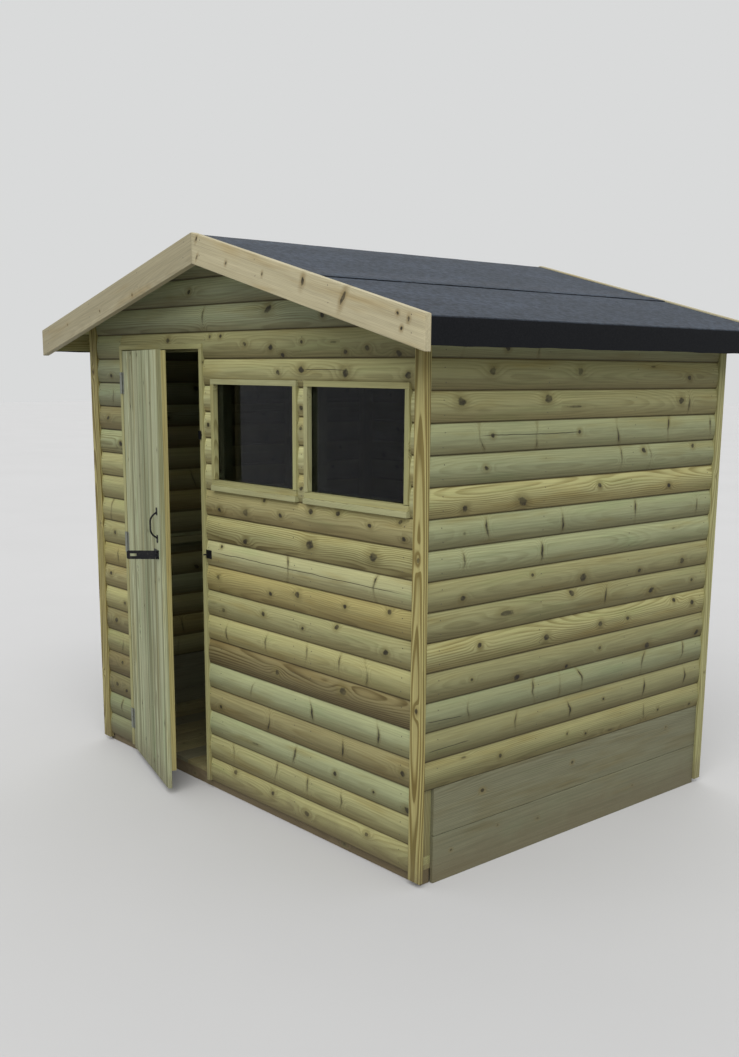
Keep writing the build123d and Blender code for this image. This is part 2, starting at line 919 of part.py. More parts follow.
def turn_button():
    """Small oblong button that turns across the door's edge."""
    x = trim_right + trim_width / 2
    y1 = leaf_face - button_spacer
    outline = SlotOverall(button_length, button_width, rotation=90)
    plane = Plane(origin=(x, y1, button_level), x_dir=(1, 0, 0), z_dir=(0, -1, 0))
    return extrude(plane * outline, amount=button_thick)


def build():
    """Write every node of the shed."""
    os.makedirs("parts", exist_ok=True)
    save("floor_bearers", *floor_bearers())
    save("floor_boards", floor_boards())
    save("side_plinths", *side_plinths())

    save("front_cladding_left", cladding_left())
    save("front_cladding_over_door", cladding_over_door())
    save("front_cladding_below_windows", cladding_below_windows())
    save("front_window_piers", *window_piers())
    save("front_cladding_over_windows", cladding_over_windows())
    save("front_gable", front_gable())
    save("right_cladding", side_cladding())
    save("left_cladding", mirrored(side_cladding()))
    save("rear_cladding", rear_wall_cladding())
    save("rear_gable", rear_gable())
    save("front_corner_boards", *front_corner_boards())
    save("rear_corner_boards", *rear_corner_boards())

    save("front_framing", *front_framing())
    save("rear_framing", *rear_framing())
    save("right_framing", *side_framing())
    save("left_framing", *[mirrored(bar) for bar in side_framing()])

    save("door_trim", *door_trim())
    save("door_stops", *door_stops())
    save("window_left_frame", *window_frame(window_lefts[0]))
    save("window_right_frame", *window_frame(window_lefts[1]))
    save("window_panes", *window_panes())

    save("roof_timbers", *roof_timbers())
    save("roof_boards_right", roof_boards())
    save("roof_boards_left", mirrored(roof_boards()))
    save("eaves_fascias", eaves_fascia(), mirrored(eaves_fascia()))
    save("felt_right", felt_eave())
    save("felt_left", mirrored(felt_eave()))
    save("felt_ridge", felt_ridge())
    save("front_bargeboards", *bargeboards(roof_front - barge_thick, roof_front))
    save("rear_bargeboards", *bargeboards(roof_rear, roof_rear + barge_thick))

    save("door_boards", door_boards())
    save("door_battens", *door_battens())
    save("hinge_frame_leaves", *[hinge_leaf(level, False) for level in hinge_levels])
    save("hinge_door_leaves", *[swing(hinge_leaf(level, True)) for level in hinge_levels])
    save("door_handle", pull_handle())
    save("hasp_plate", hasp_plate())
    save("hasp_flap", hasp_flap())
    save("hasp_staple", hasp_staple())
    save("turn_button", turn_button())
    save("turn_button_pivot", button_pivot())


build()
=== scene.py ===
"""Looks of a timber garden shed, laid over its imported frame.

Every length is in metres, and every board keeps the place that the frame gives it.
"""

import json
import logging
import math
import random
from collections.abc import Callable, Iterable, Sequence
from dataclasses import dataclass, field, replace
from enum import Enum
from itertools import product

import bmesh
import bpy
from bmesh.types import BMEdge, BMesh, BMFace, BMVert
from bpy.types import Material, Node, NodeSocket, NodeTree
from mathutils import Matrix, Vector


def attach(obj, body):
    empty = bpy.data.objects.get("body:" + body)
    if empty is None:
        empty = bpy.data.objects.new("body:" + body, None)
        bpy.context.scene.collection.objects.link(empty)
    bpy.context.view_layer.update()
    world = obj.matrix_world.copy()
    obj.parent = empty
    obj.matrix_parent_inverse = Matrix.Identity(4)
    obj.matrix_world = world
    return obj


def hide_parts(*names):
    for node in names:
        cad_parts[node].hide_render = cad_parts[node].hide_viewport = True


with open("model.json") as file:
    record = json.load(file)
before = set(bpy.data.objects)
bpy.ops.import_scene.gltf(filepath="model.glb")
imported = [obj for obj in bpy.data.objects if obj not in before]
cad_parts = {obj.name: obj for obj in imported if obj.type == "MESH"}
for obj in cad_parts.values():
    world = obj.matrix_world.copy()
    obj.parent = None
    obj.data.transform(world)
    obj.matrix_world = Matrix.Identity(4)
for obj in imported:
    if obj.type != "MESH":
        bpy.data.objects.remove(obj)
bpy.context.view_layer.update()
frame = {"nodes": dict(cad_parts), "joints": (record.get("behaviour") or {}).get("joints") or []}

LOG = logging.getLogger("garden_shed")
Colour = tuple[float, float, float, float]
# A point of a section, or the least and the most of a range
Pair = tuple[float, float]
Sockets = dict[str, NodeSocket]

# Directions of the shed's frame: to the right, to the rear and up
X, Y, Z = Vector((1, 0, 0)), Vector((0, 1, 0)), Vector((0, 0, 1))

# Wall and roof sizes that several pieces share
COVER = 0.1125
WALL_BASE = 0.040
# Lowest courses of the side walls' and of the gables' boards
SIDE_COURSE = 3
GABLE_COURSE = 18
GABLE_BASE = WALL_BASE + GABLE_COURSE * COVER
FRONT_Y = -0.915
REAR_Y = 0.915
RIGHT_X = 1.200
APEX = 2.445
PITCH = math.radians(14.67)
RISE = math.tan(PITCH)
BARGE_RISE = 0.021
# Underside of the roof boards at the ridge
UNDERSIDE = APEX - BARGE_RISE / math.cos(PITCH)
# Play between the roof and what ends under it
ROOF_PLAY = 0.0002


def screen(red: float, green: float, blue: float) -> Colour:
    """Linear colour from screen values.

    Args:
        red: Red, 0 to 255.
        green: Green, 0 to 255.
        blue: Blue, 0 to 255.

    Returns:
        The colour as Blender's sockets take it, with full alpha.
    """
    shares = [value / 255 for value in (red, green, blue)]
    linear = [s / 12.92 if s <= 0.04045 else ((s + 0.055) / 1.055) ** 2.4 for s in shares]
    return (linear[0], linear[1], linear[2], 1.0)


class Tone(Enum):
    """Tones of the pressure treated softwood, as screen colours."""

    STRAW = (152, 149, 103)
    MINT = (138, 142, 106)
    TAN = (136, 130, 90)
    UMBER = (119, 110, 74)
    HONEY = (151, 142, 92)
    OLIVE = (143, 141, 99)
    PALE = (158, 157, 116)
    CREAM = (174, 165, 134)
    SAGE = (160, 164, 132)
    MOSS = (139, 144, 113)
    DRIFT = (111, 110, 86)
    # Darkened as painted shade in the gap under the walls, and for damp timber
    SAWN = (104, 93, 68)

    def colour(self, lift: float = 1.0) -> Colour:
        """Linear colour of the tone, made lighter or darker by a factor."""
        red, green, blue, alpha = screen(*self.value)
        return (red * lift, green * lift, blue * lift, alpha)


# Shades that the effects lay over a piece's own colour, as factors
LATE_WOOD = (0.47, 0.41, 0.27, 1.0)
WEATHERED = (0.88, 0.80, 0.66, 1.0)
GREENED = (0.86, 0.98, 0.90, 1.0)
STREAKED = (0.52, 0.50, 0.40, 1.0)
# Painted shade, with some grime, on the lower, rounded part of lapped boards
SHADE_AND_GRIME = (0.57, 0.51, 0.44, 1.0)
# Painted highlight on the part of lapped boards above the crown, which faces up
CROWN_HIGHLIGHT = (1.24, 1.22, 1.16, 1.0)
# Painted shadow along the lap line, on the lip and on the top of the board below it
LAP_SHADOW = (0.36, 0.31, 0.24, 1.0)
SUN_FADED = (1.22, 1.22, 1.24, 1.0)

# Colours of knots, splits and soil
BROWN_STAIN = screen(118, 96, 50)
GREEN_STAIN = screen(74, 84, 48)
KNOT_HEART = screen(26, 20, 6)
SPLIT_DARK = screen(40, 34, 22)
SOIL = screen(96, 84, 62)

# How far one unit of a board's seed moves the noise, so that boards differ
SEED_SHIFT = 37.0


# Shader wiring


class Wiring:
    """Adds nodes to one node tree and joins them."""

    def __init__(self, tree: NodeTree) -> None:
        """Keep the tree that the nodes go into."""
        self.tree = tree

    def add(self, kind: str, **settings: object) -> Node:
        """Add a node and set its properties.

        Args:
            kind: Blender's type name of the node.
            **settings: Properties of the node and their values.

        Returns:
            The new node.
        """
        node = self.tree.nodes.new(kind)
        for name, value in settings.items():
            setattr(node, name, value)
        return node

    def feed(self, socket: NodeSocket, value: object) -> None:
        """Join a socket to another one, or set its own value.

        Args:
            socket: The input.
            value: What goes into it, or None to leave it as it is.
        """
        if isinstance(value, NodeSocket):
            self.tree.links.new(value, socket)
        elif value is not None:
            socket.default_value = value

    def math(self, operation: str, first: object, second: object = None, third: object = None) -> NodeSocket:
        """Work out numbers with a Math node.

        Args:
            operation: What the node does.
            first: Its first number or socket.
            second: Its second one, if it takes one.
            third: Its third one, if it takes one.

        Returns:
            The result.
        """
        node = self.add("ShaderNodeMath", operation=operation)
        for socket, value in zip(node.inputs, (first, second, third)):
            self.feed(socket, value)
        return node.outputs[0]

    def times(self, first: object, second: object) -> NodeSocket:
        """Product of two numbers."""
        return self.math("MULTIPLY", first, second)

    def stray(self, value: object, noise: object, reach: float) -> NodeSocket:
        """A value that a noise moves up or down, by half its reach at most."""
        return self.math("MULTIPLY_ADD", self.math("SUBTRACT", noise, 0.5), reach, value)

    def split(self, vector: NodeSocket) -> list[NodeSocket]:
        """Take a vector apart.

        Args:
            vector: The vector.

        Returns:
            Its three parts.
        """
        node = self.add("ShaderNodeSeparateXYZ")
        self.feed(node.inputs[0], vector)
        return list(node.outputs)

    def join(self, *parts: object) -> NodeSocket:
        """Put a vector together.

        Args:
            *parts: Its three parts.

        Returns:
            The vector.
        """
        node = self.add("ShaderNodeCombineXYZ")
        for socket, value in zip(node.inputs, parts):
            self.feed(socket, value)
        return node.outputs[0]

    def noise(self, vector: NodeSocket, scale: float, detail: float = 2.0, rough: float = 0.5) -> NodeSocket:
        """Take the value of a Noise texture.

        Args:
            vector: Where it is taken.
            scale: Features per metre.
            detail: Octaves of the noise.
            rough: How strong each octave is beside the one before.

        Returns:
            The noise, 0 to 1.
        """
        node = self.add("ShaderNodeTexNoise")
        self.feed(node.inputs["Vector"], vector)
        for name, number in (("Scale", scale), ("Detail", detail), ("Roughness", rough)):
            node.inputs[name].default_value = number
        return node.outputs[0]

    def stretched(
        self, parts: Sequence[NodeSocket], scales: Sequence[float], shift: object, detail: float = 2.0
    ) -> NodeSocket:
        """Noise that runs at its own scale along each axis.

        Args:
            parts: The three coordinates.
            scales: Features per metre along each of them.
            shift: Added to the last one, so that boards differ.
            detail: Octaves of the noise.

        Returns:
            The noise, 0 to 1.
        """
        scaled = [self.math("MULTIPLY", part, scale) for part, scale in zip(parts, scales)]
        scaled[2] = self.math("ADD", scaled[2], shift)
        return self.noise(self.join(*scaled), 1.0, detail)

    def ramp(
        self, value: object, low: float, high: float, start: float = 0.0, end: float = 1.0
    ) -> NodeSocket:
        """Change smoothly from start to end while a value goes from low to high.

        Args:
            value: The value.
            low: Where the change starts.
            high: Where it ends.
            start: The result below it.
            end: The result above it.

        Returns:
            The result.
        """
        node = self.add("ShaderNodeMapRange", interpolation_type="SMOOTHSTEP")
        self.feed(node.inputs["Value"], value)
        for name, number in zip(("From Min", "From Max", "To Min", "To Max"), (low, high, start, end)):
            node.inputs[name].default_value = number
        return node.outputs["Result"]

    def mix(self, share: object, first: object, second: object, blend: str = "MIX") -> NodeSocket:
        """Mix two colours.

        Args:
            share: How much of the second one shows, 0 to 1.
            first: The first colour.
            second: The second colour.
            blend: How they are mixed.

        Returns:
            The colour.
        """
        node = self.add("ShaderNodeMix", data_type="RGBA", blend_type=blend)
        node.clamp_factor = True
        for index, value in ((0, share), (6, first), (7, second)):
            self.feed(node.inputs[index], value)
        return node.outputs[2]

    def shade(self, colour: object, factors: object, share: object = 1.0) -> NodeSocket:
        """Multiply a colour by factors, as far as a share goes."""
        return self.mix(share, colour, self.mix(1.0, colour, factors, "MULTIPLY"))

    def effect(self, tree: NodeTree, **inputs: object) -> Node:
        """Place a shared node group.

        Args:
            tree: The group.
            **inputs: Its inputs by name, with underscores for spaces.

        Returns:
            The group's node.
        """
        node = self.add("ShaderNodeGroup", node_tree=tree)
        for name, value in inputs.items():
            self.feed(node.inputs[name.replace("_", " ")], value)
        return node

    def stored(self, name: str, part: str = "Vector") -> NodeSocket:
        """A vector or colour that is stored on the mesh."""
        return self.add("ShaderNodeAttribute", attribute_name=name).outputs[part]

    def place(self) -> NodeSocket:
        """The point of the surface, in the shed's frame."""
        return self.add("ShaderNodeTexCoord").outputs["Object"]


class Plug(Enum):
    """Kinds of socket on a shared effect."""

    NUMBER = "NodeSocketFloat"
    VECTOR = "NodeSocketVector"
    COLOUR = "NodeSocketColor"


@dataclass
class Effect:
    """A shader node group with named inputs and outputs, built once.

    Args:
        name: Name of the group.
        inputs: Input names and their kinds.
        outputs: Output names and their kinds.
        wire: Takes the wiring and the inputs by name, and returns the outputs by name.
    """

    name: str
    inputs: dict[str, Plug]
    outputs: dict[str, Plug]
    wire: Callable[[Wiring, Sockets], Sockets]
    made: NodeTree | None = field(default=None, init=False)

    def tree(self) -> NodeTree:
        """Make the group at its first use.

        Returns:
            The group.
        """
        if self.made is None:
            tree = bpy.data.node_groups.new(self.name, "ShaderNodeTree")
            for side, sockets in (("INPUT", self.inputs), ("OUTPUT", self.outputs)):
                for name, plug in sockets.items():
                    tree.interface.new_socket(name, in_out=side, socket_type=plug.value)
            wiring = Wiring(tree)
            source = wiring.add("NodeGroupInput")
            sink = wiring.add("NodeGroupOutput")
            given = {name: source.outputs[name] for name in self.inputs}
            for name, socket in self.wire(wiring, given).items():
                wiring.feed(sink.inputs[name], socket)
            self.made = tree
        return self.made


def wire_figure(w: Wiring, given: Sockets) -> Sockets:
    """Growth rings cut by the face of a board, fine fibre and slow changes of tone.

    Args:
        w: The group's wiring.
        given: Its inputs.

    Returns:
        Its outputs.
    """
    grain = w.split(given["Grain"])
    _, across, depth = grain
    seed, _, pith = w.split(given["Board"])
    shift = w.times(seed, SEED_SHIFT)
    slow = w.stretched(grain, (1.1, 4.0, 4.0), shift, 1.0)
    sway = w.stretched(grain, (5.0, 22.0, 22.0), shift, 2.0)
    lateral = w.stray(w.stray(w.math("SUBTRACT", across, pith), slow, 0.045), sway, 0.006)
    deep = w.stretched(grain, (0.8, 1.5, 1.5), w.math("ADD", shift, 11.0), 1.0)
    height = w.math("ADD", w.stray(0.045, deep, 0.11), depth)
    radius = w.math("SQRT", w.math("MULTIPLY_ADD", lateral, lateral, w.times(height, height)))
    near = w.split(given["Swirl"])
    reach = w.math("MULTIPLY_ADD", near[0], near[0], w.times(near[1], near[1]))
    bump = w.math("EXPONENT", w.times(reach, -1.0))
    radius = w.math("MULTIPLY_ADD", w.times(bump, near[2]), 0.016, radius)
    rings = w.math("DIVIDE", radius, given["Ring Width"])
    saw = w.math("FRACT", rings)
    late = w.times(w.ramp(saw, 0.25, 0.82), w.ramp(saw, 0.86, 1.0, 1.0, 0.0))
    late = w.times(late, w.ramp(w.stretched(grain, (3.0, 30.0, 30.0), shift, 2.0), 0.25, 0.65, 0.35, 1.0))
    fine = w.stretched(grain, (14.0, 950.0, 950.0), shift, 2.0)
    broad = w.stretched(grain, (3.0, 170.0, 170.0), shift, 2.0)
    fibre = w.math("MULTIPLY_ADD", fine, 0.45, w.times(broad, 0.55))
    drift = w.stretched(grain, (2.4, 16.0, 16.0), w.math("ADD", shift, 5.0), 3.0)
    bands = w.stretched(grain, (0.35, 42.0, 42.0), w.math("ADD", shift, 8.0), 1.0)
    return {"Late": late, "Fibre": fibre, "Drift": drift, "Bands": w.ramp(bands, 0.46, 0.66)}


def wire_marks(w: Wiring, given: Sockets) -> Sockets:
    """Knots with their dark hearts and stained rims, and splits along the grain.

    Args:
        w: The group's wiring.
        given: Its inputs.

    Returns:
        Its outputs.
    """
    grain = w.split(given["Grain"])
    shift = w.times(w.split(given["Board"])[0], SEED_SHIFT)
    x, y, strength = w.split(given["Knot"])
    x = w.stray(x, w.stretched(grain, (5.0, 24.0, 24.0), shift, 2.0), 2.8)
    reach = w.math("SQRT", w.math("MULTIPLY_ADD", x, x, w.times(y, y)))
    reach = w.stray(reach, w.stretched(grain, (110.0, 130.0, 130.0), shift, 3.0), 0.55)
    reach = w.math("DIVIDE", reach, w.math("MULTIPLY_ADD", strength, 0.6, 0.45))
    patchy = w.ramp(w.stretched(grain, (30.0, 38.0, 38.0), shift, 2.0), 0.34, 0.6, 0.72, 1.0)
    strength = w.times(strength, patchy)
    core = w.times(w.ramp(reach, 0.62, 1.1, 1.0, 0.0), strength)
    halo = w.times(w.ramp(reach, 0.8, 3.0, 1.0, 0.0), strength)
    where, off, open_by = w.split(given["Crack"])
    waver = w.stretched(grain, (6.5, 0.0, 0.0), shift, 3.0)
    line = w.math("ABSOLUTE", w.stray(off, waver, 9.0))
    ends = w.ramp(w.math("ABSOLUTE", where), 0.75, 1.0, 1.0, 0.0)
    split = w.times(w.ramp(line, 0.5, 1.5, 1.0, 0.0), w.times(ends, open_by))
    return {"Core": core, "Halo": halo, "Split": split}


def wire_timber(w: Wiring, given: Sockets) -> Sockets:
    """Colour, roughness and relief of treated softwood from its figure and marks, with the painted shade,
    painted highlight and painted lap shadow of lapped boards.

    Args:
        w: The group's wiring.
        given: Its inputs.

    Returns:
        Its outputs.
    """
    figure = w.split(given["Board"])[1]
    colour = w.shade(given["Tone"], LATE_WOOD, w.times(given["Late"], figure))
    streak = w.ramp(given["Fibre"], 0.25, 0.75, 0.80, 1.16)
    colour = w.mix(1.0, colour, w.join(streak, streak, streak), "MULTIPLY")
    colour = w.shade(colour, WEATHERED, w.ramp(given["Drift"], 0.52, 0.78))
    greener = w.times(w.ramp(given["Drift"], 0.48, 0.24), given["Green"])
    colour = w.shade(colour, GREENED, greener)
    colour = w.shade(colour, STREAKED, w.times(given["Bands"], given["Streaks"]))
    stain = w.mix(given["Green"], BROWN_STAIN, GREEN_STAIN)
    colour = w.mix(w.times(given["Halo"], 0.6), colour, stain)
    colour = w.mix(w.times(given["Core"], 0.96), colour, KNOT_HEART)
    # Painted shade with some grime, then a painted highlight, then painted shadow along the lap
    colour = w.shade(colour, SHADE_AND_GRIME, given["Lap"])
    colour = w.shade(colour, CROWN_HIGHLIGHT, given["Bleach"])
    colour = w.shade(colour, LAP_SHADOW, given["Edge"])
    colour = w.mix(w.times(given["Split"], 0.92), colour, SPLIT_DARK)
    rough = w.ramp(w.math("ADD", given["Core"], given["Late"]), 0.0, 1.0, 0.74, 0.68)
    relief = w.math("MULTIPLY_ADD", given["Late"], w.times(figure, 0.5), given["Fibre"])
    relief = w.math("MULTIPLY_ADD", given["Core"], 0.5, relief)
    relief = w.math("MULTIPLY_ADD", given["Split"], -2.5, relief)
    return {"Color": colour, "Roughness": rough, "Height": relief}


def wire_lap(w: Wiring, given: Sockets) -> Sockets:
    """Painted shade, with some grime, on the lower, rounded part of lapped boards, a painted shadow along
    each lap and a painted highlight on the part above the crown.

    Args:
        w: The group's wiring.
        given: Its inputs.

    Returns:
        Its outputs.
    """
    grain = w.split(given["Grain"])
    share = w.math("DIVIDE", grain[1], given["Cover"])
    # Painted shadow on the top of each board under the lip above, and on the lip itself
    under = w.ramp(share, 0.94, 0.985, 0.0, 1.0)
    edge = w.math("MAXIMUM", under, w.ramp(share, 0.0, 0.055, 1.0, 0.0))
    waver = w.stretched(grain, (2.2, 20.0, 20.0), 3.0, 3.0)
    share = w.stray(share, waver, 0.26)
    # Painted shade with some grime, darker towards the board's lower edge
    low = w.ramp(share, 0.02, 0.62, 1.0, 0.0)
    # The last mask is a painted highlight on the part of each board above the crown
    return {"Mask": low, "Edge": edge, "Bleach": w.ramp(share, 0.42, 0.88)}


def wire_splash(w: Wiring, given: Sockets) -> Sockets:
    """Soil splashed up the foot of the walls, and dust in broad patches.

    Args:
        w: The group's wiring.
        given: Its inputs.

    Returns:
        Its outputs.
    """
    place = w.split(given["Position"])
    patch = w.noise(given["Position"], 9.0, 4.0, 0.6)
    level = w.stray(place[2], patch, 0.22)
    low = w.ramp(level, 0.02, 0.17, 1.0, 0.0)
    specks = w.ramp(w.noise(given["Position"], 160.0, 2.0), 0.62, 0.70)
    return {"Mask": w.times(low, w.math("MULTIPLY_ADD", specks, 0.5, 0.38))}


def wire_granules(w: Wiring, given: Sockets) -> Sockets:
    """Mineral granules of the felt, brushed in streaks along the roll.

    Args:
        w: The group's wiring.
        given: Its inputs.

    Returns:
        Its outputs.
    """
    place = w.split(given["Position"])
    streak = w.stretched(place, (110.0, 14.0, 0.0), 0.0, 3.0)
    broad = w.stretched(place, (5.0, 2.0, 3.0), 3.0, 3.0)
    mottle = w.noise(given["Position"], 42.0, 3.0, 0.7)
    grit = w.noise(given["Position"], 190.0, 3.0, 0.8)
    value = w.math("MULTIPLY_ADD", streak, 0.15, w.times(grit, 0.35))
    value = w.math("MULTIPLY_ADD", mottle, 0.5, value)
    colour = w.mix(w.ramp(value, 0.43, 0.57), given["Dark"], given["Light"])
    colour = w.shade(colour, SUN_FADED, w.ramp(broad, 0.4, 0.7))
    return {"Color": colour, "Height": value, "Roughness": w.ramp(grit, 0.3, 0.7, 0.72, 0.92)}


def wire_scuffs(w: Wiring, given: Sockets) -> Sockets:
    """Scratches and rubbed spots on small metal pieces.

    Args:
        w: The group's wiring.
        given: Its inputs.

    Returns:
        Its outputs.
    """
    patch = w.noise(given["Position"], 60.0, 3.0, 0.6)
    fine = w.noise(given["Position"], 900.0, 2.0, 0.5)
    rubbed = w.ramp(w.math("MULTIPLY_ADD", fine, 0.35, patch), 0.74, 0.86)
    return {"Rubbed": rubbed, "Patch": patch, "Height": fine}


NUMBER, VECTOR, COLOUR = Plug
SURFACE = {"Color": COLOUR, "Roughness": NUMBER, "Height": NUMBER}
FIGURE_MASKS = dict.fromkeys(("Late", "Fibre", "Drift", "Bands"), NUMBER)
MARK_MASKS = dict.fromkeys(("Core", "Halo", "Split"), NUMBER)
TIMBER_MASKS = dict.fromkeys(("Streaks", "Green", "Lap", "Edge", "Bleach"), NUMBER)
FIGURE = Effect(
    "softwood_figure",
    {"Grain": VECTOR, "Swirl": VECTOR, "Board": VECTOR, "Ring Width": NUMBER},
    FIGURE_MASKS,
    wire_figure,
)
MARKS = Effect(
    "knots_and_splits", dict.fromkeys(("Grain", "Knot", "Crack", "Board"), VECTOR), MARK_MASKS, wire_marks
)
TIMBER = Effect(
    "treated_softwood",
    {"Tone": COLOUR, "Board": VECTOR} | FIGURE_MASKS | MARK_MASKS | TIMBER_MASKS,
    SURFACE,
    wire_timber,
)
LAP = Effect(
    "lap_grime",
    {"Grain": VECTOR, "Cover": NUMBER},
    dict.fromkeys(("Mask", "Edge", "Bleach"), NUMBER),
    wire_lap,
)
SPLASH = Effect("ground_splash", {"Position": VECTOR}, {"Mask": NUMBER}, wire_splash)
GRANULES = Effect(
    "felt_granules", {"Position": VECTOR, "Dark": COLOUR, "Light": COLOUR}, SURFACE, wire_granules
)
SCUFFS = Effect(
    "metal_scuffs", {"Position": VECTOR}, dict.fromkeys(("Rubbed", "Patch", "Height"), NUMBER), wire_scuffs
)


# Finishes


def new_surface(name: str) -> tuple[Material, Wiring, Node]:
    """Material with an empty Principled shader.

    Args:
        name: Name of the material.

    Returns:
        The material, its wiring and its shader node.
    """
    material = bpy.data.materials.new(name)
    material.use_nodes = True
    shader = material.node_tree.nodes["Principled BSDF"]
    return material, Wiring(material.node_tree), shader


def set_relief(w: Wiring, shader: Node, height: NodeSocket, depth: float) -> None:
    """Join a height to the shader's normal through a Bump node.

    Args:
        w: Wiring of the material.
        shader: Its Principled node.
        height: Height over the surface.
        depth: Depth of the relief at full height.
    """
    bump = w.add("ShaderNodeBump")
    bump.inputs["Strength"].default_value = 0.9
    bump.inputs["Distance"].default_value = depth
    w.feed(bump.inputs["Height"], height)
    w.feed(shader.inputs["Normal"], bump.outputs[0])


@dataclass(frozen=True)
class TimberFinish:
    """Softwood finish, whose grain, knots and tone come from the boards themselves.

    Args:
        name: Name of the material.
        ring_width: Usual width of a growth ring.
        green: How much of the green of the treatment shows, 0 to 1.
        relief: Depth of its grain.
        cover: Height that a lapped board covers, or 0 where boards don't lap.
        streaks: How strongly dark streaks run along the grain, 0 to 1.
    """

    name: str
    ring_width: float = 0.0058
    green: float = 0.5
    relief: float = 0.0005
    cover: float = 0.0
    streaks: float = 0.12

    def build(self) -> Material:
        """Make the material.

        Returns:
            The material.
        """
        material, w, shader = new_surface(self.name)
        grain, board = w.stored("grain"), w.stored("board")
        figure = w.effect(FIGURE.tree(), Grain=grain, Swirl=w.stored("swirl"), Board=board)
        figure.inputs["Ring Width"].default_value = self.ring_width
        knot_place, crack_place = w.stored("knot"), w.stored("crack")
        marks = w.effect(MARKS.tree(), Grain=grain, Knot=knot_place, Crack=crack_place, Board=board)
        timber = w.effect(TIMBER.tree(), Tone=w.stored("tone", "Color"), Board=board)
        for name, number in (("Green", self.green), ("Streaks", self.streaks)):
            timber.inputs[name].default_value = number
        # Lapped boards also take painted shade, a painted highlight and painted shadow along each lap
        if self.cover:
            lap = w.effect(LAP.tree(), Grain=grain, Cover=self.cover)
            for name, mask in (("Lap", "Mask"), ("Edge", "Edge"), ("Bleach", "Bleach")):
                w.feed(timber.inputs[name], lap.outputs[mask])
        for node in (figure, marks):
            for socket in node.outputs:
                w.feed(timber.inputs[socket.name], socket)
        splash = w.effect(SPLASH.tree(), Position=w.place())
        soiled = w.mix(splash.outputs["Mask"], timber.outputs["Color"], SOIL)
        w.feed(shader.inputs["Base Color"], soiled)
        w.feed(shader.inputs["Roughness"], timber.outputs["Roughness"])
        shader.inputs["Specular IOR Level"].default_value = 0.35
        set_relief(w, shader, timber.outputs["Height"], self.relief)
        return material


@dataclass(frozen=True)
class FeltFinish:
    """Mineral felt, with painted shade where it turns down over the eave: faces that don't face up take a
    much darker colour of their own.
    """

    name: str
    dark: Colour
    light: Colour
    # Painted shade for the felt that turns down over the eave
    fold: Colour
    relief: float

    def build(self) -> Material:
        """Make the material.

        Returns:
            The material.
        """
        material, w, shader = new_surface(self.name)
        grit = w.effect(GRANULES.tree(), Position=w.place(), Dark=self.dark, Light=self.light)
        # Painted shade: faces that turn from upright to the side or downwards take the dark fold colour
        upright = w.split(w.add("ShaderNodeNewGeometry").outputs["Normal"])[2]
        upper = w.mix(w.ramp(upright, 0.35, 0.85), self.fold, grit.outputs["Color"])
        w.feed(shader.inputs["Base Color"], upper)
        w.feed(shader.inputs["Roughness"], grit.outputs["Roughness"])
        shader.inputs["Specular IOR Level"].default_value = 0.2
        set_relief(w, shader, grit.outputs["Height"], self.relief)
        return material


@dataclass(frozen=True)
class MetalFinish:
    """Painted or plated metal, rubbed bare in places, with its least and most roughness as gloss."""

    name: str
    base: Colour
    bare: Colour
    metallic: float
    gloss: Pair
    shine: float = 0.5
    relief: float = 0.0001

    def build(self) -> Material:
        """Make the material.

        Returns:
            The material.
        """
        material, w, shader = new_surface(self.name)
        scuffs = w.effect(SCUFFS.tree(), Position=w.place())
        worn = w.mix(w.times(scuffs.outputs["Rubbed"], 0.7), self.base, self.bare)
        w.feed(shader.inputs["Base Color"], worn)
        w.feed(shader.inputs["Roughness"], w.ramp(scuffs.outputs["Patch"], 0.3, 0.7, *self.gloss))
        shader.inputs["Metallic"].default_value = self.metallic
        shader.inputs["Specular IOR Level"].default_value = self.shine
        set_relief(w, shader, scuffs.outputs["Height"], self.relief)
        return material


@dataclass(frozen=True)
class PaneFinish:
    """Clear sheet with a thin film of dust, which bends light by little."""

    name: str
    clean: Colour = screen(134, 141, 148)
    dusty: Colour = screen(120, 127, 134)
    bending: float = 1.22

    def build(self) -> Material:
        """Make the material.

        Returns:
            The material.
        """
        material, w, shader = new_surface(self.name)
        film = w.noise(w.place(), 14.0, 4.0, 0.6)
        w.feed(shader.inputs["Base Color"], w.mix(w.ramp(film, 0.3, 0.7), self.clean, self.dusty))
        w.feed(shader.inputs["Roughness"], w.ramp(film, 0.35, 0.75, 0.0, 0.015))
        shader.inputs["Transmission Weight"].default_value = 1.0
        shader.inputs["IOR"].default_value = self.bending
        return material


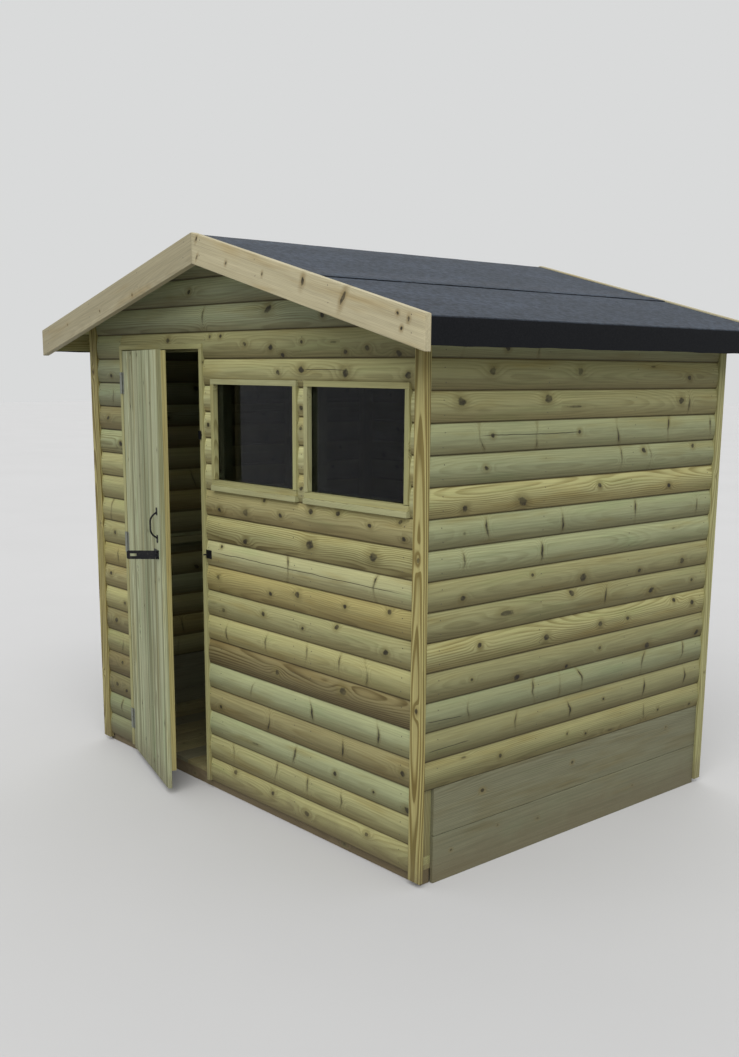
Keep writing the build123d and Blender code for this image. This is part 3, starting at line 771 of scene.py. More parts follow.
class Finish(Enum):
    """Every finish on the shed."""

    CLADDING = TimberFinish("clad_wood", cover=COVER)
    CORNER = TimberFinish("corner_wood", ring_width=0.009, green=0.3, relief=0.0007)
    TRIM = TimberFinish("trim_wood", ring_width=0.004, green=0.4, relief=0.0004)
    BARGE = TimberFinish("barge_wood", ring_width=0.0045, green=0.05, relief=0.00025)
    DOOR = TimberFinish("door_wood", ring_width=0.007, green=0.7, relief=0.0004, streaks=0.9)
    BATTEN = TimberFinish("batten_wood", green=0.3)
    FRAMING = TimberFinish("frame_wood", green=0.5, relief=0.0008)
    ROOFING = TimberFinish("roof_wood", green=0.4)
    FLOORING = TimberFinish("floor_wood", green=0.3)
    BEARER = TimberFinish("bearer_wood", green=0.9, relief=0.001)
    PLINTH = TimberFinish("plinth_wood", ring_width=0.005, green=0.3, relief=0.001)
    # The third colour is painted shade on the felt that turns down over the eave
    FELT = FeltFinish("felt", screen(33, 38, 45), screen(56, 64, 74), screen(8, 10, 14), 0.0008)
    PANE = PaneFinish("pane")
    ZINC = MetalFinish("zinc_steel", screen(124, 127, 118), screen(96, 91, 80), 0.6, (0.45, 0.65))
    NAIL = MetalFinish("nail_steel", screen(74, 68, 58), screen(104, 92, 74), 0.3, (0.5, 0.7))
    BLACK = MetalFinish("black_iron", screen(13, 13, 16), screen(52, 49, 46), 0.0, (0.42, 0.62), 0.2)

    def slot(self) -> str:
        """The record's material slot that the finish belongs to."""
        return "zinc_steel" if self is Finish.NAIL else self.value.name

    def material(self) -> Material:
        """Make the finish's material at its first use.

        Returns:
            The material.
        """
        found = MATERIALS.get(self.value.name)
        if found is None:
            found = MATERIALS[self.value.name] = self.value.build()
        return found


MATERIALS: dict[str, Material] = {}


# Boards and their marks


@dataclass(frozen=True)
class Mark:
    """Knot, whorl or smear on a board's face.

    Args:
        along: Place along the grain.
        up: Place across the grain.
        half_long: Half its length along the grain.
        half_tall: Half its height across the grain.
        lean: How far it leans along the grain for each metre across.
        strength: How dark it is, 0 to 1.
        bend: How far it bows along the grain at its ends.
        uneven: How much its darkness changes over its height, 0 to 1.
    """

    along: float
    up: float
    half_long: float
    half_tall: float
    lean: float = 0.0
    strength: float = 0.85
    bend: float = 0.0
    uneven: float = 0.0

    def at(self, point: Vector) -> tuple[Vector, Vector]:
        """Work out where a point of the board lies from the mark.

        Args:
            point: The point, as seen from the board.

        Returns:
            Its offset in units of the mark's size, with the mark's darkness there, and its offset in
            units of the swirl of the growth rings, with their bend.
        """
        off = point.y - self.up
        share = off / self.half_tall
        bow = self.bend * abs(share) ** 1.3
        run = point.x - self.along - self.lean * off - bow
        swell = self.uneven * math.sin(2.9 * share + 61.0 * self.along)
        dark = self.strength * (1.0 + 0.34 * (swell - self.uneven))
        spread, tall = max(self.half_long * 3.2, 0.018), max(self.half_tall * 1.6, 0.013)
        return (
            Vector((run / self.half_long, share, dark)), Vector((run / spread, off / tall, self.strength))
        )


def knot(along: float, share: float, size: float = 6.0, strength: float = 0.85) -> Mark:
    """Knot at a share of a cladding board's height, 3 mm tall and 3.6 mm long per unit of size."""
    return Mark(along, share * COVER, size * 0.0018, size * 0.0015, 0.0, min(1.0, 1.12 * strength))


def whorl(along: float, strength: float = 0.45, lean: float = 0.0, share: float = 0.5) -> Mark:
    """Uneven, bowed line across a cladding board, where a ring of branches grew."""
    bend = 0.018 * math.sin(91.0 * along + 7.0 * lean)
    return Mark(along, share * COVER, 0.0064, 0.46 * COVER, lean, min(1.0, 1.6 * strength), bend, 1.0)


def smear(along: float, share: float, length: float = 0.03, strength: float = 0.6) -> Mark:
    """Long dark streak along the grain."""
    return Mark(along, share * COVER, length, 0.0055, 0.0, strength)


@dataclass(frozen=True)
class Crack:
    """Split that runs along the grain between two points of a board's face.

    Args:
        start: Its left end, along and across the grain.
        end: Its right end.
        strength: How open it is, 0 to 1.
        half_wide: Half its width.
    """

    start: Pair
    end: Pair
    strength: float = 0.9
    half_wide: float = 0.0014

    def at(self, point: Vector) -> Vector:
        """Work out where a point of the board lies on the split.

        Args:
            point: The point, as seen from the board.

        Returns:
            Its places along the split and off it, and how open the split is.
        """
        middle = (self.start[0] + self.end[0]) / 2
        half = (self.end[0] - self.start[0]) / 2
        slope = (self.end[1] - self.start[1]) / (2 * half)
        level = self.start[1] + slope * (point.x - self.start[0])
        return Vector(((point.x - middle) / half, (point.y - level) / self.half_wide, self.strength))


@dataclass(frozen=True)
class Look:
    """What one board looks like.

    Args:
        tone: Its tone.
        figure: How strongly its growth rings show, 0 to 1.
        marks: Its knots and whorls.
        crack: Its split, if it has one.
        pith: Where the middle of the tree lies across the board.
        lift: Factor on the tone's lightness; in the tables it is painted shade for some boards.
    """

    tone: Tone
    figure: float = 0.4
    marks: tuple[Mark, ...] = ()
    crack: Crack | None = None
    pith: float = 0.05
    lift: float = 1.0


@dataclass(frozen=True)
class Axes:
    """Directions of one board: along its grain, across its face, and out of it."""

    origin: Vector
    along: Vector
    across: Vector
    out: Vector

    def local(self, point: Vector) -> Vector:
        """A point as seen from the board."""
        offset = point - self.origin
        return Vector((offset.dot(self.along), offset.dot(self.across), offset.dot(self.out)))

    def place(self, along: float, across: float, out: float) -> Vector:
        """A point of the board, in the shed's frame."""
        return self.origin + self.along * along + self.across * across + self.out * out


# Offset that is stored where a board has no mark or split
FAR_AWAY = Vector((50.0, 50.0, 0.0))


class TimberMesh:
    """Boards gathered into one mesh, with grain, knots and tone stored on their corners."""

    def __init__(self, name: str) -> None:
        """Start an empty mesh with its layers.

        Args:
            name: Name of the piece.
        """
        self.name = name
        self.bm = bmesh.new()
        loops = self.bm.loops.layers
        self.vectors = {
            key: loops.float_vector.new(key) for key in ("grain", "knot", "swirl", "crack", "board")
        }
        self.tone = loops.float_color.new("tone")

    def paint(self, faces: Iterable[BMFace], axes: Axes, look: Look, seed: float) -> None:
        """Store a board's grain, marks and tone on its faces.

        Args:
            faces: The board's faces.
            axes: Its directions.
            look: What it looks like.
            seed: A number that sets it apart from other boards.
        """
        tone = look.tone.colour(look.lift)
        board = Vector((seed, look.figure, look.pith))
        for face in faces:
            mark = self.nearest(look.marks, axes.local(face.calc_center_median()))
            for loop in face.loops:
                point = axes.local(loop.vert.co)
                stored = {"grain": point, "board": board}
                stored.update(dict.fromkeys(("knot", "swirl", "crack"), FAR_AWAY))
                if mark is not None:
                    stored["knot"], stored["swirl"] = mark.at(point)
                if look.crack is not None:
                    stored["crack"] = look.crack.at(point)
                for key, value in stored.items():
                    loop[self.vectors[key]] = value
                loop[self.tone] = tone

    @staticmethod
    def nearest(marks: Sequence[Mark], centre: Vector) -> Mark | None:
        """The mark that lies nearest to the middle of a face, or None."""
        return min(marks, key=lambda m: abs(m.along - centre.x) + 0.6 * abs(m.up - centre.y), default=None)

    def finish(self, finish: Finish, body: str, nodes: Sequence[str], smooth: float = 24.0) -> None:
        """Make a piece of the boards, whose edges past an angle in degrees stay sharp."""
        bmesh.ops.recalc_face_normals(self.bm, faces=self.bm.faces[:])
        place_piece(self.bm, self.name, finish, body, nodes, smooth)


def place_piece(
    bm: BMesh, name: str, finish: Finish, body: str, nodes: Sequence[str] = (), smooth: float = 24.0
) -> None:
    """Make an object of a mesh, dress it and let it ride on its body.

    Args:
        bm: The mesh, in the shed's frame.
        name: Name of the piece.
        finish: Its finish.
        body: The body it moves with.
        nodes: CAD nodes that it stands for.
        smooth: Edges sharper than this angle stay sharp, in degrees.
    """
    mesh = bpy.data.meshes.new(name)
    bm.to_mesh(mesh)
    bm.free()
    for polygon in mesh.polygons:
        polygon.use_smooth = True
    mesh.set_sharp_from_angle(angle=math.radians(smooth))
    mesh.materials.append(finish.material())
    piece = bpy.data.objects.new(name, mesh)
    bpy.context.scene.collection.objects.link(piece)
    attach(piece, body)
    if nodes:
        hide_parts(*nodes)
    LOG.info("%s: %d faces on %s", name, len(mesh.polygons), body)


# Cladding


def any_look(rng: random.Random, start: float, end: float, tones: Sequence[Tone]) -> Look:
    """A made-up board: tone, figure and marks drawn from a generator.

    Args:
        rng: The generator.
        start: Where the board starts.
        end: Where it ends.
        tones: Tones to choose from.

    Returns:
        Its look.
    """
    marks = []
    place = start + rng.uniform(0.08, 0.4)
    while place < end:
        if rng.random() < 0.62:
            share, size = rng.uniform(0.15, 0.85), rng.uniform(4.5, 9.5)
            marks.append(knot(place, share, size, rng.uniform(0.6, 0.95)))
        else:
            marks.append(whorl(place, rng.uniform(0.3, 0.7), rng.uniform(-0.35, 0.35)))
        place += rng.uniform(0.16, 0.55)
    return Look(
        rng.choice(tones), rng.choice((0.25, 0.35, 0.45, 0.8)), tuple(marks),
        pith=rng.uniform(-0.03, 0.15), lift=rng.uniform(0.93, 1.07),
    )


# Some lifts and tones here are painted shade: course 17, right under the bargeboards, is darkened, and the
# gable's courses 18 to 21 take the greyer moss tone of the shade under the overhang
FRONT_LOOKS: dict[int, Look] = {
    0: Look(Tone.STRAW, 0.45, (
        knot(-0.01, 0.8, 8), knot(0.28, 0.65, 7), knot(0.51, 0.46, 8), knot(0.89, 0.7, 6),
    ), lift=0.84),
    1: Look(Tone.OLIVE, 0.3, (
        whorl(-0.01, 0.4), whorl(0.3, 0.5, 0.2), whorl(0.52, 0.5), whorl(0.74, 0.4),
    ), lift=0.94),
    2: Look(Tone.MINT, 0.15, (
        smear(0.15, 0.36), whorl(0.43, 0.6, 0.3), knot(0.7, 0.47, 7), knot(0.93, 0.37, 4),
        knot(1.12, 0.21, 9),
    )),
    3: Look(Tone.TAN, 0.35, (
        knot(-0.11, 0.32, 6), whorl(0.26, 0.6), whorl(0.75, 0.6), knot(1.09, 0.43, 8),
    ), lift=0.87),
    4: Look(Tone.MINT, 0.12, (
        whorl(0.13, 0.3, 0.5), whorl(0.55, 0.9, -0.3), whorl(0.96, 0.85, -0.12),
    ), lift=1.02),
    5: Look(Tone.UMBER, 1.1, (knot(0.31, 0.52, 9, 0.7), knot(0.74, 0.6, 12, 0.7)), pith=0.088, lift=0.9),
    6: Look(Tone.STRAW, 0.25, (
        whorl(-0.06, 0.5), whorl(0.23, 0.4), whorl(0.52, 0.4, 0.2), whorl(0.72, 0.45),
        whorl(0.89, 0.5, -0.2),
    ), lift=0.95),
    7: Look(Tone.OLIVE, 0.35, (
        knot(-0.08, 0.32, 8, 0.6), knot(0.22, 0.6, 7), knot(0.49, 0.46, 5), knot(0.7, 0.82, 7),
        knot(0.99, 0.41, 8),
    ), lift=0.96),
    8: Look(Tone.HONEY, 0.5, (
        knot(-0.11, 0.59, 9, 0.6), knot(0.27, 0.45, 7), knot(0.46, 0.65, 9), knot(0.76, 0.63, 6),
        knot(1.01, 0.8, 7),
    ), pith=0.02, lift=0.9),
    9: Look(Tone.PALE, 0.2, (
        knot(-0.09, 0.83, 5), whorl(0.4, 0.6), whorl(0.92, 0.6),
    ), Crack((-0.2, 0.062), (1.138, 0.055)), lift=0.96),
    10: Look(Tone.STRAW, 0.9, (
        knot(0.1, 0.22, 9), knot(0.54, 0.55, 13), knot(0.92, 0.53, 12),
    ), pith=0.018, lift=0.94),
    11: Look(Tone.TAN, 0.45, (
        knot(-0.09, 0.26, 7), knot(0.1, 0.32, 13, 0.6), knot(0.23, 0.87, 6), knot(0.35, 0.42, 7),
        knot(0.54, 0.73, 8), knot(0.71, 0.8, 7), knot(0.9, 0.56, 6), knot(1.06, 0.82, 6),
        knot(1.09, 0.3, 6),
    ), pith=0.03, lift=1.12),
    12: Look(Tone.PALE, 0.4, (knot(0.49, 0.5, 6),), lift=1.08),
    13: Look(Tone.PALE, 0.4, lift=1.16),
    14: Look(Tone.PALE, 0.4, (knot(-0.17, 0.5, 7), knot(0.485, 0.6, 6)), lift=1.08),
    15: Look(Tone.PALE, 0.45, (knot(0.49, 0.3, 7),), lift=1.14),
    16: Look(Tone.OLIVE, 0.4, (
        knot(0.34, 0.5, 7), knot(0.49, 0.6, 9), knot(0.75, 0.5, 11), knot(1.1, 0.45, 9),
    ), Crack((0.5, 0.068), (0.76, 0.066)), lift=1.1),
    17: Look(Tone.OLIVE, 0.4, (
        knot(-0.48, 0.7, 8), knot(-0.15, 0.8, 5), knot(-0.07, 0.81, 6), knot(0.11, 0.51, 6),
        knot(0.29, 0.37, 8), knot(0.37, 0.1, 7), knot(0.49, 0.54, 5), smear(0.69, 0.51, 0.03),
        knot(0.76, 0.19, 6), knot(0.88, 0.3, 7), knot(1.04, 0.12, 8),
    ), lift=0.9),
    18: Look(Tone.MOSS, 0.6, (
        whorl(-0.2, 0.5), knot(0.27, 0.7, 11), knot(0.62, 0.4, 7),
    ), pith=0.02, lift=1.04),
    19: Look(Tone.MOSS, 0.4, (knot(-0.3, 0.5, 7), whorl(0.35, 0.5))),
    20: Look(Tone.MOSS, 0.5, (knot(0.12, 0.4, 8),), lift=1.04),
    21: Look(Tone.MOSS, 0.4, (knot(-0.1, 0.5, 6),), lift=1.06),
}

# Most lifts below 1 here are painted shade: the lowest courses are darkened for the shadow beside the door,
# and courses 14 to 16 for the shade under the gable's overhang
LEFT_LOOKS: dict[int, Look] = {
    0: Look(Tone.MINT, 0.2, lift=0.62),
    1: Look(Tone.MINT, 0.15, (whorl(-1.02, 0.5),), lift=0.7),
    2: Look(Tone.TAN, 0.5, (knot(-1.06, 0.5, 8), knot(-0.96, 0.35, 7)), lift=0.6),
    3: Look(Tone.UMBER, 0.5, (knot(-1.0, 0.6, 7),), lift=0.84),
    4: Look(Tone.STRAW, 0.3, (whorl(-0.98, 0.4),), lift=0.72),
    5: Look(Tone.TAN, 0.6, (knot(-1.04, 0.5, 9),), lift=0.7),
    6: Look(Tone.STRAW, 0.3, (knot(-0.95, 0.4, 6),), lift=0.94),
    7: Look(Tone.TAN, 0.45, (knot(-1.08, 0.6, 7),)),
    8: Look(Tone.HONEY, 0.35, (whorl(-1.0, 0.4),), lift=0.88),
    9: Look(Tone.OLIVE, 0.3, (knot(-1.02, 0.5, 7),), lift=0.92),
    14: Look(Tone.TAN, 0.4, (knot(-1.05, 0.5, 7),), lift=0.76),
    15: Look(Tone.MOSS, 0.3, (whorl(-0.99, 0.4),), lift=0.8),
    16: Look(Tone.MOSS, 0.3, (knot(-1.0, 0.3, 6),), lift=0.84),
}

# The low lifts of courses 3 to 9 are painted shade: the wall is darkened towards the ground
SIDE_LOOKS: dict[int, Look] = {
    3: Look(Tone.STRAW, 0.5, (
        smear(-0.68, 0.8, 0.02), knot(-0.49, 0.48, 6), knot(-0.08, 0.53, 4), knot(0.04, 0.32, 4),
        smear(0.21, 0.15, 0.02), whorl(0.44, 0.35), knot(0.55, 0.38, 4), knot(0.8, 0.2, 4),
    ), pith=0.02, lift=0.7),
    4: Look(Tone.OLIVE, 0.15, (
        whorl(-0.41, 0.5, 0.1), whorl(-0.07, 0.95, -0.25), knot(0.15, 0.48, 4), whorl(0.44, 0.7, 0.15),
        whorl(0.75, 0.6),
    ), Crack((-0.89, 0.036), (-0.66, 0.042)), lift=0.71),
    5: Look(Tone.MINT, 0.12, (
        whorl(-0.68, 0.35), whorl(-0.31, 0.7, -0.15), whorl(-0.14, 0.4), whorl(0.0, 0.6, -0.3),
        whorl(0.41, 0.6, 0.3), whorl(0.72, 0.6, 0.4),
    ), Crack((-0.9, 0.044), (-0.7, 0.030)), lift=0.78),
    6: Look(Tone.OLIVE, 0.3, (
        knot(-0.66, 0.47, 4), knot(-0.41, 0.16, 9), knot(-0.1, 0.12, 6), knot(0.11, 0.52, 5),
        knot(0.45, 0.16, 10), knot(0.82, 0.2, 9),
    ), lift=0.73),
    7: Look(Tone.STRAW, 0.75, (
        knot(-0.62, 0.6, 7), knot(-0.24, 0.37, 9), knot(0.11, 0.44, 8), knot(0.29, 0.43, 6),
        knot(0.63, 0.75, 7), knot(0.77, 0.51, 8),
    ), pith=0.1, lift=0.92),
    8: Look(Tone.OLIVE, 0.4, (
        Mark(-0.46, 0.06, 0.055, 0.012, 0.0, 0.75), knot(-0.08, 0.8, 9), whorl(0.13, 0.6, 0.2),
        knot(0.45, 0.35, 9), knot(0.76, 0.45, 5),
    ), lift=0.77),
    9: Look(Tone.OLIVE, 0.25, (
        knot(-0.72, 0.31, 7), knot(-0.33, 0.7, 5), knot(-0.02, 0.3, 12), knot(0.36, 0.2, 6),
        knot(0.67, 0.3, 9),
    ), lift=0.82),
    10: Look(Tone.MINT, 0.3, (
        whorl(-0.71, 0.4), whorl(-0.28, 0.75), smear(0.59, 0.65, 0.02, 0.4),
    ), lift=0.97),
    11: Look(Tone.MINT, 0.2, (
        knot(-0.72, 0.44, 6, 0.4), whorl(-0.6, 0.6, -0.2), whorl(-0.16, 0.85, -0.1), whorl(0.31, 0.75),
        whorl(0.76, 0.4),
    ), lift=0.9),
    12: Look(Tone.STRAW, 0.8, (
        knot(-0.72, 0.25, 8), knot(-0.41, 0.3, 12), knot(0.06, 0.6, 7), knot(0.54, 0.35, 7),
    ), pith=0.085, lift=1.02),
    13: Look(Tone.MINT, 0.3, (
        knot(-0.61, 0.5, 6), whorl(0.2, 0.45), knot(0.35, 0.75, 8), whorl(0.4, 0.4), knot(0.71, 0.8, 7),
    ), lift=0.91),
    14: Look(Tone.MINT, 0.15, (
        whorl(-0.65, 0.5, -0.3), knot(-0.58, 0.55, 6), whorl(-0.34, 0.5), knot(-0.08, 0.54, 6),
        whorl(0.16, 0.6, -0.2), whorl(0.51, 0.7), whorl(0.83, 0.5),
    ), Crack((-0.66, 0.062), (-0.06, 0.060))),
    15: Look(Tone.OLIVE, 0.4, (
        knot(-0.75, 0.65, 11), knot(-0.28, 0.7, 11), smear(-0.12, 0.41, 0.05, 0.7), knot(0.6, 0.54, 10),
        whorl(0.66, 0.5),
    )),
    16: Look(Tone.OLIVE, 0.35, (
        knot(-0.59, 0.6, 11, 0.7), knot(-0.09, 0.6, 11, 0.7), smear(0.39, 0.8, 0.02), knot(0.65, 0.4, 7),
    ), lift=0.92),
}


@dataclass(frozen=True)
class BoardShape:
    """Section of one log-shaped board, which laps over the board below it.

    Args:
        thick: Thickness of the board.
        lip: Setback of its lower edge from the crown.
        tail: Setback of its upper edge.
        crown: Height of the crown, as a share of the cover.
        rebate: Depth of the rebate behind the lip.
        lap: Height of the rebate.
        joint: Open joint between two boards.
        play: Play in the rebate.
        arris: How far the lip's corner is rounded, back and up.
        steps: Parts of the rounded face.
    """

    thick: float = 0.022
    lip: float = 0.0065
    tail: float = 0.0115
    crown: float = 0.43
    rebate: float = 0.0132
    lap: float = 0.008
    joint: float = 0.0007
    play: float = 0.0003
    arris: Pair = (0.0012, 0.0014)
    steps: int = 12

    def face_points(self) -> list[Pair]:
        """Lay out the rounded face as an arc through the lip, the crown and the tail.

        Returns:
            Setbacks and heights, from the lip to the tail.
        """
        x1, y1 = self.lip, 0.0
        x2, y2 = 0.0, self.crown * COVER
        x3, y3 = self.tail, COVER
        d = 2 * (x1 * (y2 - y3) + x2 * (y3 - y1) + x3 * (y1 - y2))
        a, b, c = x1 * x1 + y1 * y1, x2 * x2 + y2 * y2, x3 * x3 + y3 * y3
        cx = (a * (y2 - y3) + b * (y3 - y1) + c * (y1 - y2)) / d
        cy = (a * (x3 - x2) + b * (x1 - x3) + c * (x2 - x1)) / d
        radius = math.hypot(x1 - cx, y1 - cy)
        start = math.atan2(y1 - cy, x1 - cx) % (2 * math.pi)
        end = math.atan2(y3 - cy, x3 - cx) % (2 * math.pi)
        angles = [start + (end - start) * step / self.steps for step in range(self.steps + 1)]
        return [(cx + radius * math.cos(a), cy + radius * math.sin(a)) for a in angles]

    def outline(self) -> list[Pair]:
        """Lay out the closed section of a whole board.

        Returns:
            Setbacks and heights.
        """
        back, up = self.arris
        face = self.face_points()
        face[0] = (face[0][0] + back, 0.0)
        face.insert(1, (face[1][0] * 0.15 + self.lip * 0.85, up))
        top = COVER - self.joint
        face[-1] = (self.tail, top)
        return face + [
            (self.rebate + self.play, top),
            (self.rebate + self.play, top + self.lap),
            (self.thick, top + self.lap),
            (self.thick, self.lap),
            (self.rebate, self.lap),
            (self.rebate, 0.0),
        ]


def clip_outline(points: Sequence[Pair], level: float, keep_above: bool) -> list[Pair]:
    """Cut a section at a level.

    Args:
        points: Setbacks and heights of the section.
        level: Height of the cut.
        keep_above: Whether the part above the cut stays.

    Returns:
        The section that is left.
    """
    kept = []
    for (x0, z0), (x1, z1) in zip(points, list(points[1:]) + [points[0]]):
        in0, in1 = (z0 >= level) == keep_above, (z1 >= level) == keep_above
        if in0:
            kept.append((x0, z0))
        if in0 != in1:
            share = (level - z0) / (z1 - z0)
            kept.append((x0 + share * (x1 - x0), level))
    return kept


@dataclass(frozen=True)
class Panel:
    """Stretch of cladding on one wall.

    Args:
        name: Name of the piece.
        node: The CAD node it stands for.
        start: Where its boards start along the wall.
        end: Where they end.
        low: Lowest height.
        high: Highest height.
        looks: Looks of its courses.
        sloped: Whether the roof cuts its ends.
    """

    name: str
    node: str
    start: float
    end: float
    low: float
    high: float
    looks: dict[int, Look] = field(default_factory=dict)
    sloped: bool = False


@dataclass
class Cladding:
    """Boards of one wall, course by course.

    Args:
        axes: The wall's directions, with its origin on the wall face at ground level.
        panels: Its stretches of boards.
        shape: Section of a board.
        tones: Tones for the boards without a look of their own.
        push: Most that a board sits back from the wall face.
    """

    axes: Axes
    panels: tuple[Panel, ...]
    shape: BoardShape = field(default_factory=BoardShape)
    tones: tuple[Tone, ...] = (Tone.STRAW, Tone.MINT, Tone.TAN, Tone.OLIVE, Tone.HONEY, Tone.OLIVE)
    push: float = 0.0006

    def build(self) -> None:
        """Make every panel of the wall."""
        pieces: dict[str, TimberMesh] = {}
        for panel in self.panels:
            if panel.node not in pieces:
                pieces[panel.node] = TimberMesh(panel.name)
            first = math.floor((panel.low - WALL_BASE) / COVER + 1e-4)
            last = math.ceil((panel.high - WALL_BASE) / COVER - 1e-4)
            for course in range(first, last):
                self.board(pieces[panel.node], panel, course)
        for node, mesh in pieces.items():
            mesh.finish(Finish.CLADDING, "shed", [node], smooth=28.0)

    def board(self, mesh: TimberMesh, panel: Panel, course: int) -> None:
        """Add one board of a panel.

        Args:
            mesh: Where it goes.
            panel: Its panel.
            course: Number of its course from the foot of the wall.
        """
        base = WALL_BASE + course * COVER
        outline = [(s, z + base) for s, z in self.shape.outline()]
        if base < panel.low - 1e-4:
            outline = clip_outline(outline, panel.low, True)
        if base + COVER > panel.high - 0.001:
            outline = clip_outline(outline, min(panel.high, base + COVER), False)
        rng = random.Random(f"{panel.node} {course}")
        look = panel.looks.get(course) or any_look(rng, panel.start, panel.end, self.tones)
        seed = random.Random(f"{panel.node[:5]} {course} {look.tone.name}").uniform(0.1, 9.9)
        push = rng.uniform(0.0, self.push)
        place, new = self.axes.place, mesh.bm.verts.new
        stations = split_places(look.marks, panel.start, panel.end)
        rows = [[new(place(along, z, -s - push)) for s, z in outline] for along in stations]
        faces = join_rows(mesh.bm, rows)
        if panel.sloped:
            faces = self.cut_to_roof(mesh.bm, faces)
        grain = Axes(place(0.0, base, 0.0), self.axes.along, self.axes.across, self.axes.out)
        mesh.paint(faces, grain, look, seed)

    @staticmethod
    def cut_to_roof(bm: BMesh, faces: list[BMFace]) -> list[BMFace]:
        """Cut a board's ends to both slopes of the roof.

        Args:
            bm: The mesh.
            faces: The board's faces.

        Returns:
            The faces that are left, with the cut ends closed.
        """
        ridge = Vector((0.0, 0.0, UNDERSIDE - ROOF_PLAY))
        for side in (-1, 1):
            geometry = dict.fromkeys(faces)
            for face in faces:
                geometry.update(dict.fromkeys((*face.verts, *face.edges)))
            slope = Vector((side * math.sin(PITCH), 0.0, math.cos(PITCH)))
            cut = bmesh.ops.bisect_plane(
                bm, geom=list(geometry), dist=1e-6, plane_co=ridge, plane_no=slope, clear_outer=True
            )
            faces = [f for f in cut["geom"] if isinstance(f, BMFace) and f.is_valid]
            rim = [edge for edge in cut["geom_cut"] if isinstance(edge, BMEdge)]
            if rim:
                faces += bmesh.ops.holes_fill(bm, edges=rim, sides=0)["faces"]
        return faces


def join_rows(bm: BMesh, rows: Sequence[Sequence[BMVert]]) -> list[BMFace]:
    """Skin a row of closed sections and close both ends.

    Args:
        bm: The mesh.
        rows: Points of each section.

    Returns:
        The new faces.
    """
    faces = []
    for left, right in zip(rows[:-1], rows[1:]):
        for index in range(len(left)):
            after = (index + 1) % len(left)
            faces.append(bm.faces.new((left[index], right[index], right[after], left[after])))
    return faces + [bm.faces.new(rows[0]), bm.faces.new(list(reversed(rows[-1])))]


def split_places(marks: Sequence[Mark], start: float, end: float) -> list[float]:
    """Places where a board is divided, so that each part has its own mark.

    Args:
        marks: The board's marks.
        start: Where it starts.
        end: Where it ends.

    Returns:
        The places in order, with both ends.
    """
    places = sorted(mark.along for mark in marks)
    middles = [(a + b) / 2 for a, b in zip(places[:-1], places[1:]) if b - a > 0.012]
    return [start] + [m for m in middles if start + 0.004 < m < end - 0.004] + [end]


@dataclass(frozen=True)
class Walls:
    """The four clad walls, by the ends and the openings of their boards.

    Args:
        front_half: Half the width of the front wall's boards.
        rear_half: Half the width of the rear wall's boards.
        side_start: Front end of the side walls' boards.
        side_end: Rear end of them.
        doorway: Left and right side of the doorway.
        door_head: Height of its head.
        window_sill: Height of the windows' lower edge.
        window_head: Height of their upper edge.
        left_pier_end: Where the pier between the doorway and the left window ends.
        mid_pier: Start and end of the pier between the windows.
        right_pier_start: Where the pier beside the right window starts.
    """

    front_half: float = 1.138
    rear_half: float = 1.184
    side_start: float = -0.899
    side_end: float = 0.870
    doorway: Pair = (-0.906, -0.201)
    door_head: float = 2.015
    window_sill: float = 1.390
    window_head: float = 1.866
    left_pier_end: float = -0.136
    mid_pier: Pair = (0.464, 0.513)
    right_pier_start: float = 1.113

    def build(self) -> None:
        """Make the boards of every wall."""
        for wall in (self.front(), self.side(1), self.side(-1), self.rear()):
            wall.build()

    def front(self) -> Cladding:
        """Set out the wall with the door and the windows.

        Returns:
            Its boards.
        """
        axes = Axes(FRONT_Y * Y, X, Z, -Y)
        left, right = -self.front_half, self.front_half
        hinged, closing = self.doorway
        foot, gable, looks = WALL_BASE, GABLE_BASE, FRONT_LOOKS
        door, sill, head = self.door_head, self.window_sill, self.window_head
        panels = [
            Panel("boards_front_left", "front_cladding_left", left, hinged, foot, gable, LEFT_LOOKS),
            Panel("boards_over_door", "front_cladding_over_door", hinged, closing, door, gable, looks),
            Panel("boards_below_windows", "front_cladding_below_windows", closing, right, foot, sill, looks),
            Panel("boards_over_windows", "front_cladding_over_windows", closing, right, head, gable, looks),
            Panel("boards_front_gable", "front_gable", left, right, gable, UNDERSIDE, looks, True),
        ]
        for start, end in ((closing, self.left_pier_end), self.mid_pier, (self.right_pier_start, right)):
            panels.append(Panel("boards_window_piers", "front_window_piers", start, end, sill, head, looks))
        return Cladding(axes, tuple(panels))

    def side(self, side: int) -> Cladding:
        """Set out a side wall.

        Args:
            side: 1 for the right wall, -1 for the left.

        Returns:
            Its boards.
        """
        axes = Axes(side * RIGHT_X * X, Y, Z, side * X)
        name = "right" if side > 0 else "left"
        looks = SIDE_LOOKS if side > 0 else {}
        ends = (self.side_start, self.side_end)
        heights = (WALL_BASE + SIDE_COURSE * COVER, UNDERSIDE - RIGHT_X * RISE - ROOF_PLAY)
        return Cladding(axes, (Panel(f"boards_{name}_wall", f"{name}_cladding", *ends, *heights, looks),))

    def rear(self) -> Cladding:
        """Set out the wall without openings.

        Returns:
            Its boards.
        """
        axes = Axes(REAR_Y * Y, -X, Z, Y)
        half = self.rear_half
        wall = Panel("boards_rear_wall", "rear_cladding", -half, half, WALL_BASE, GABLE_BASE)
        gable = Panel("boards_rear_gable", "rear_gable", -half, half, GABLE_BASE, UNDERSIDE, sloped=True)
        return Cladding(axes, (wall, gable))


# Bars and boards taken from the frame


class Way(Enum):
    """Which way a piece's grain runs."""

    X = 0
    Y = 1
    Z = 2
    LONGEST = 3


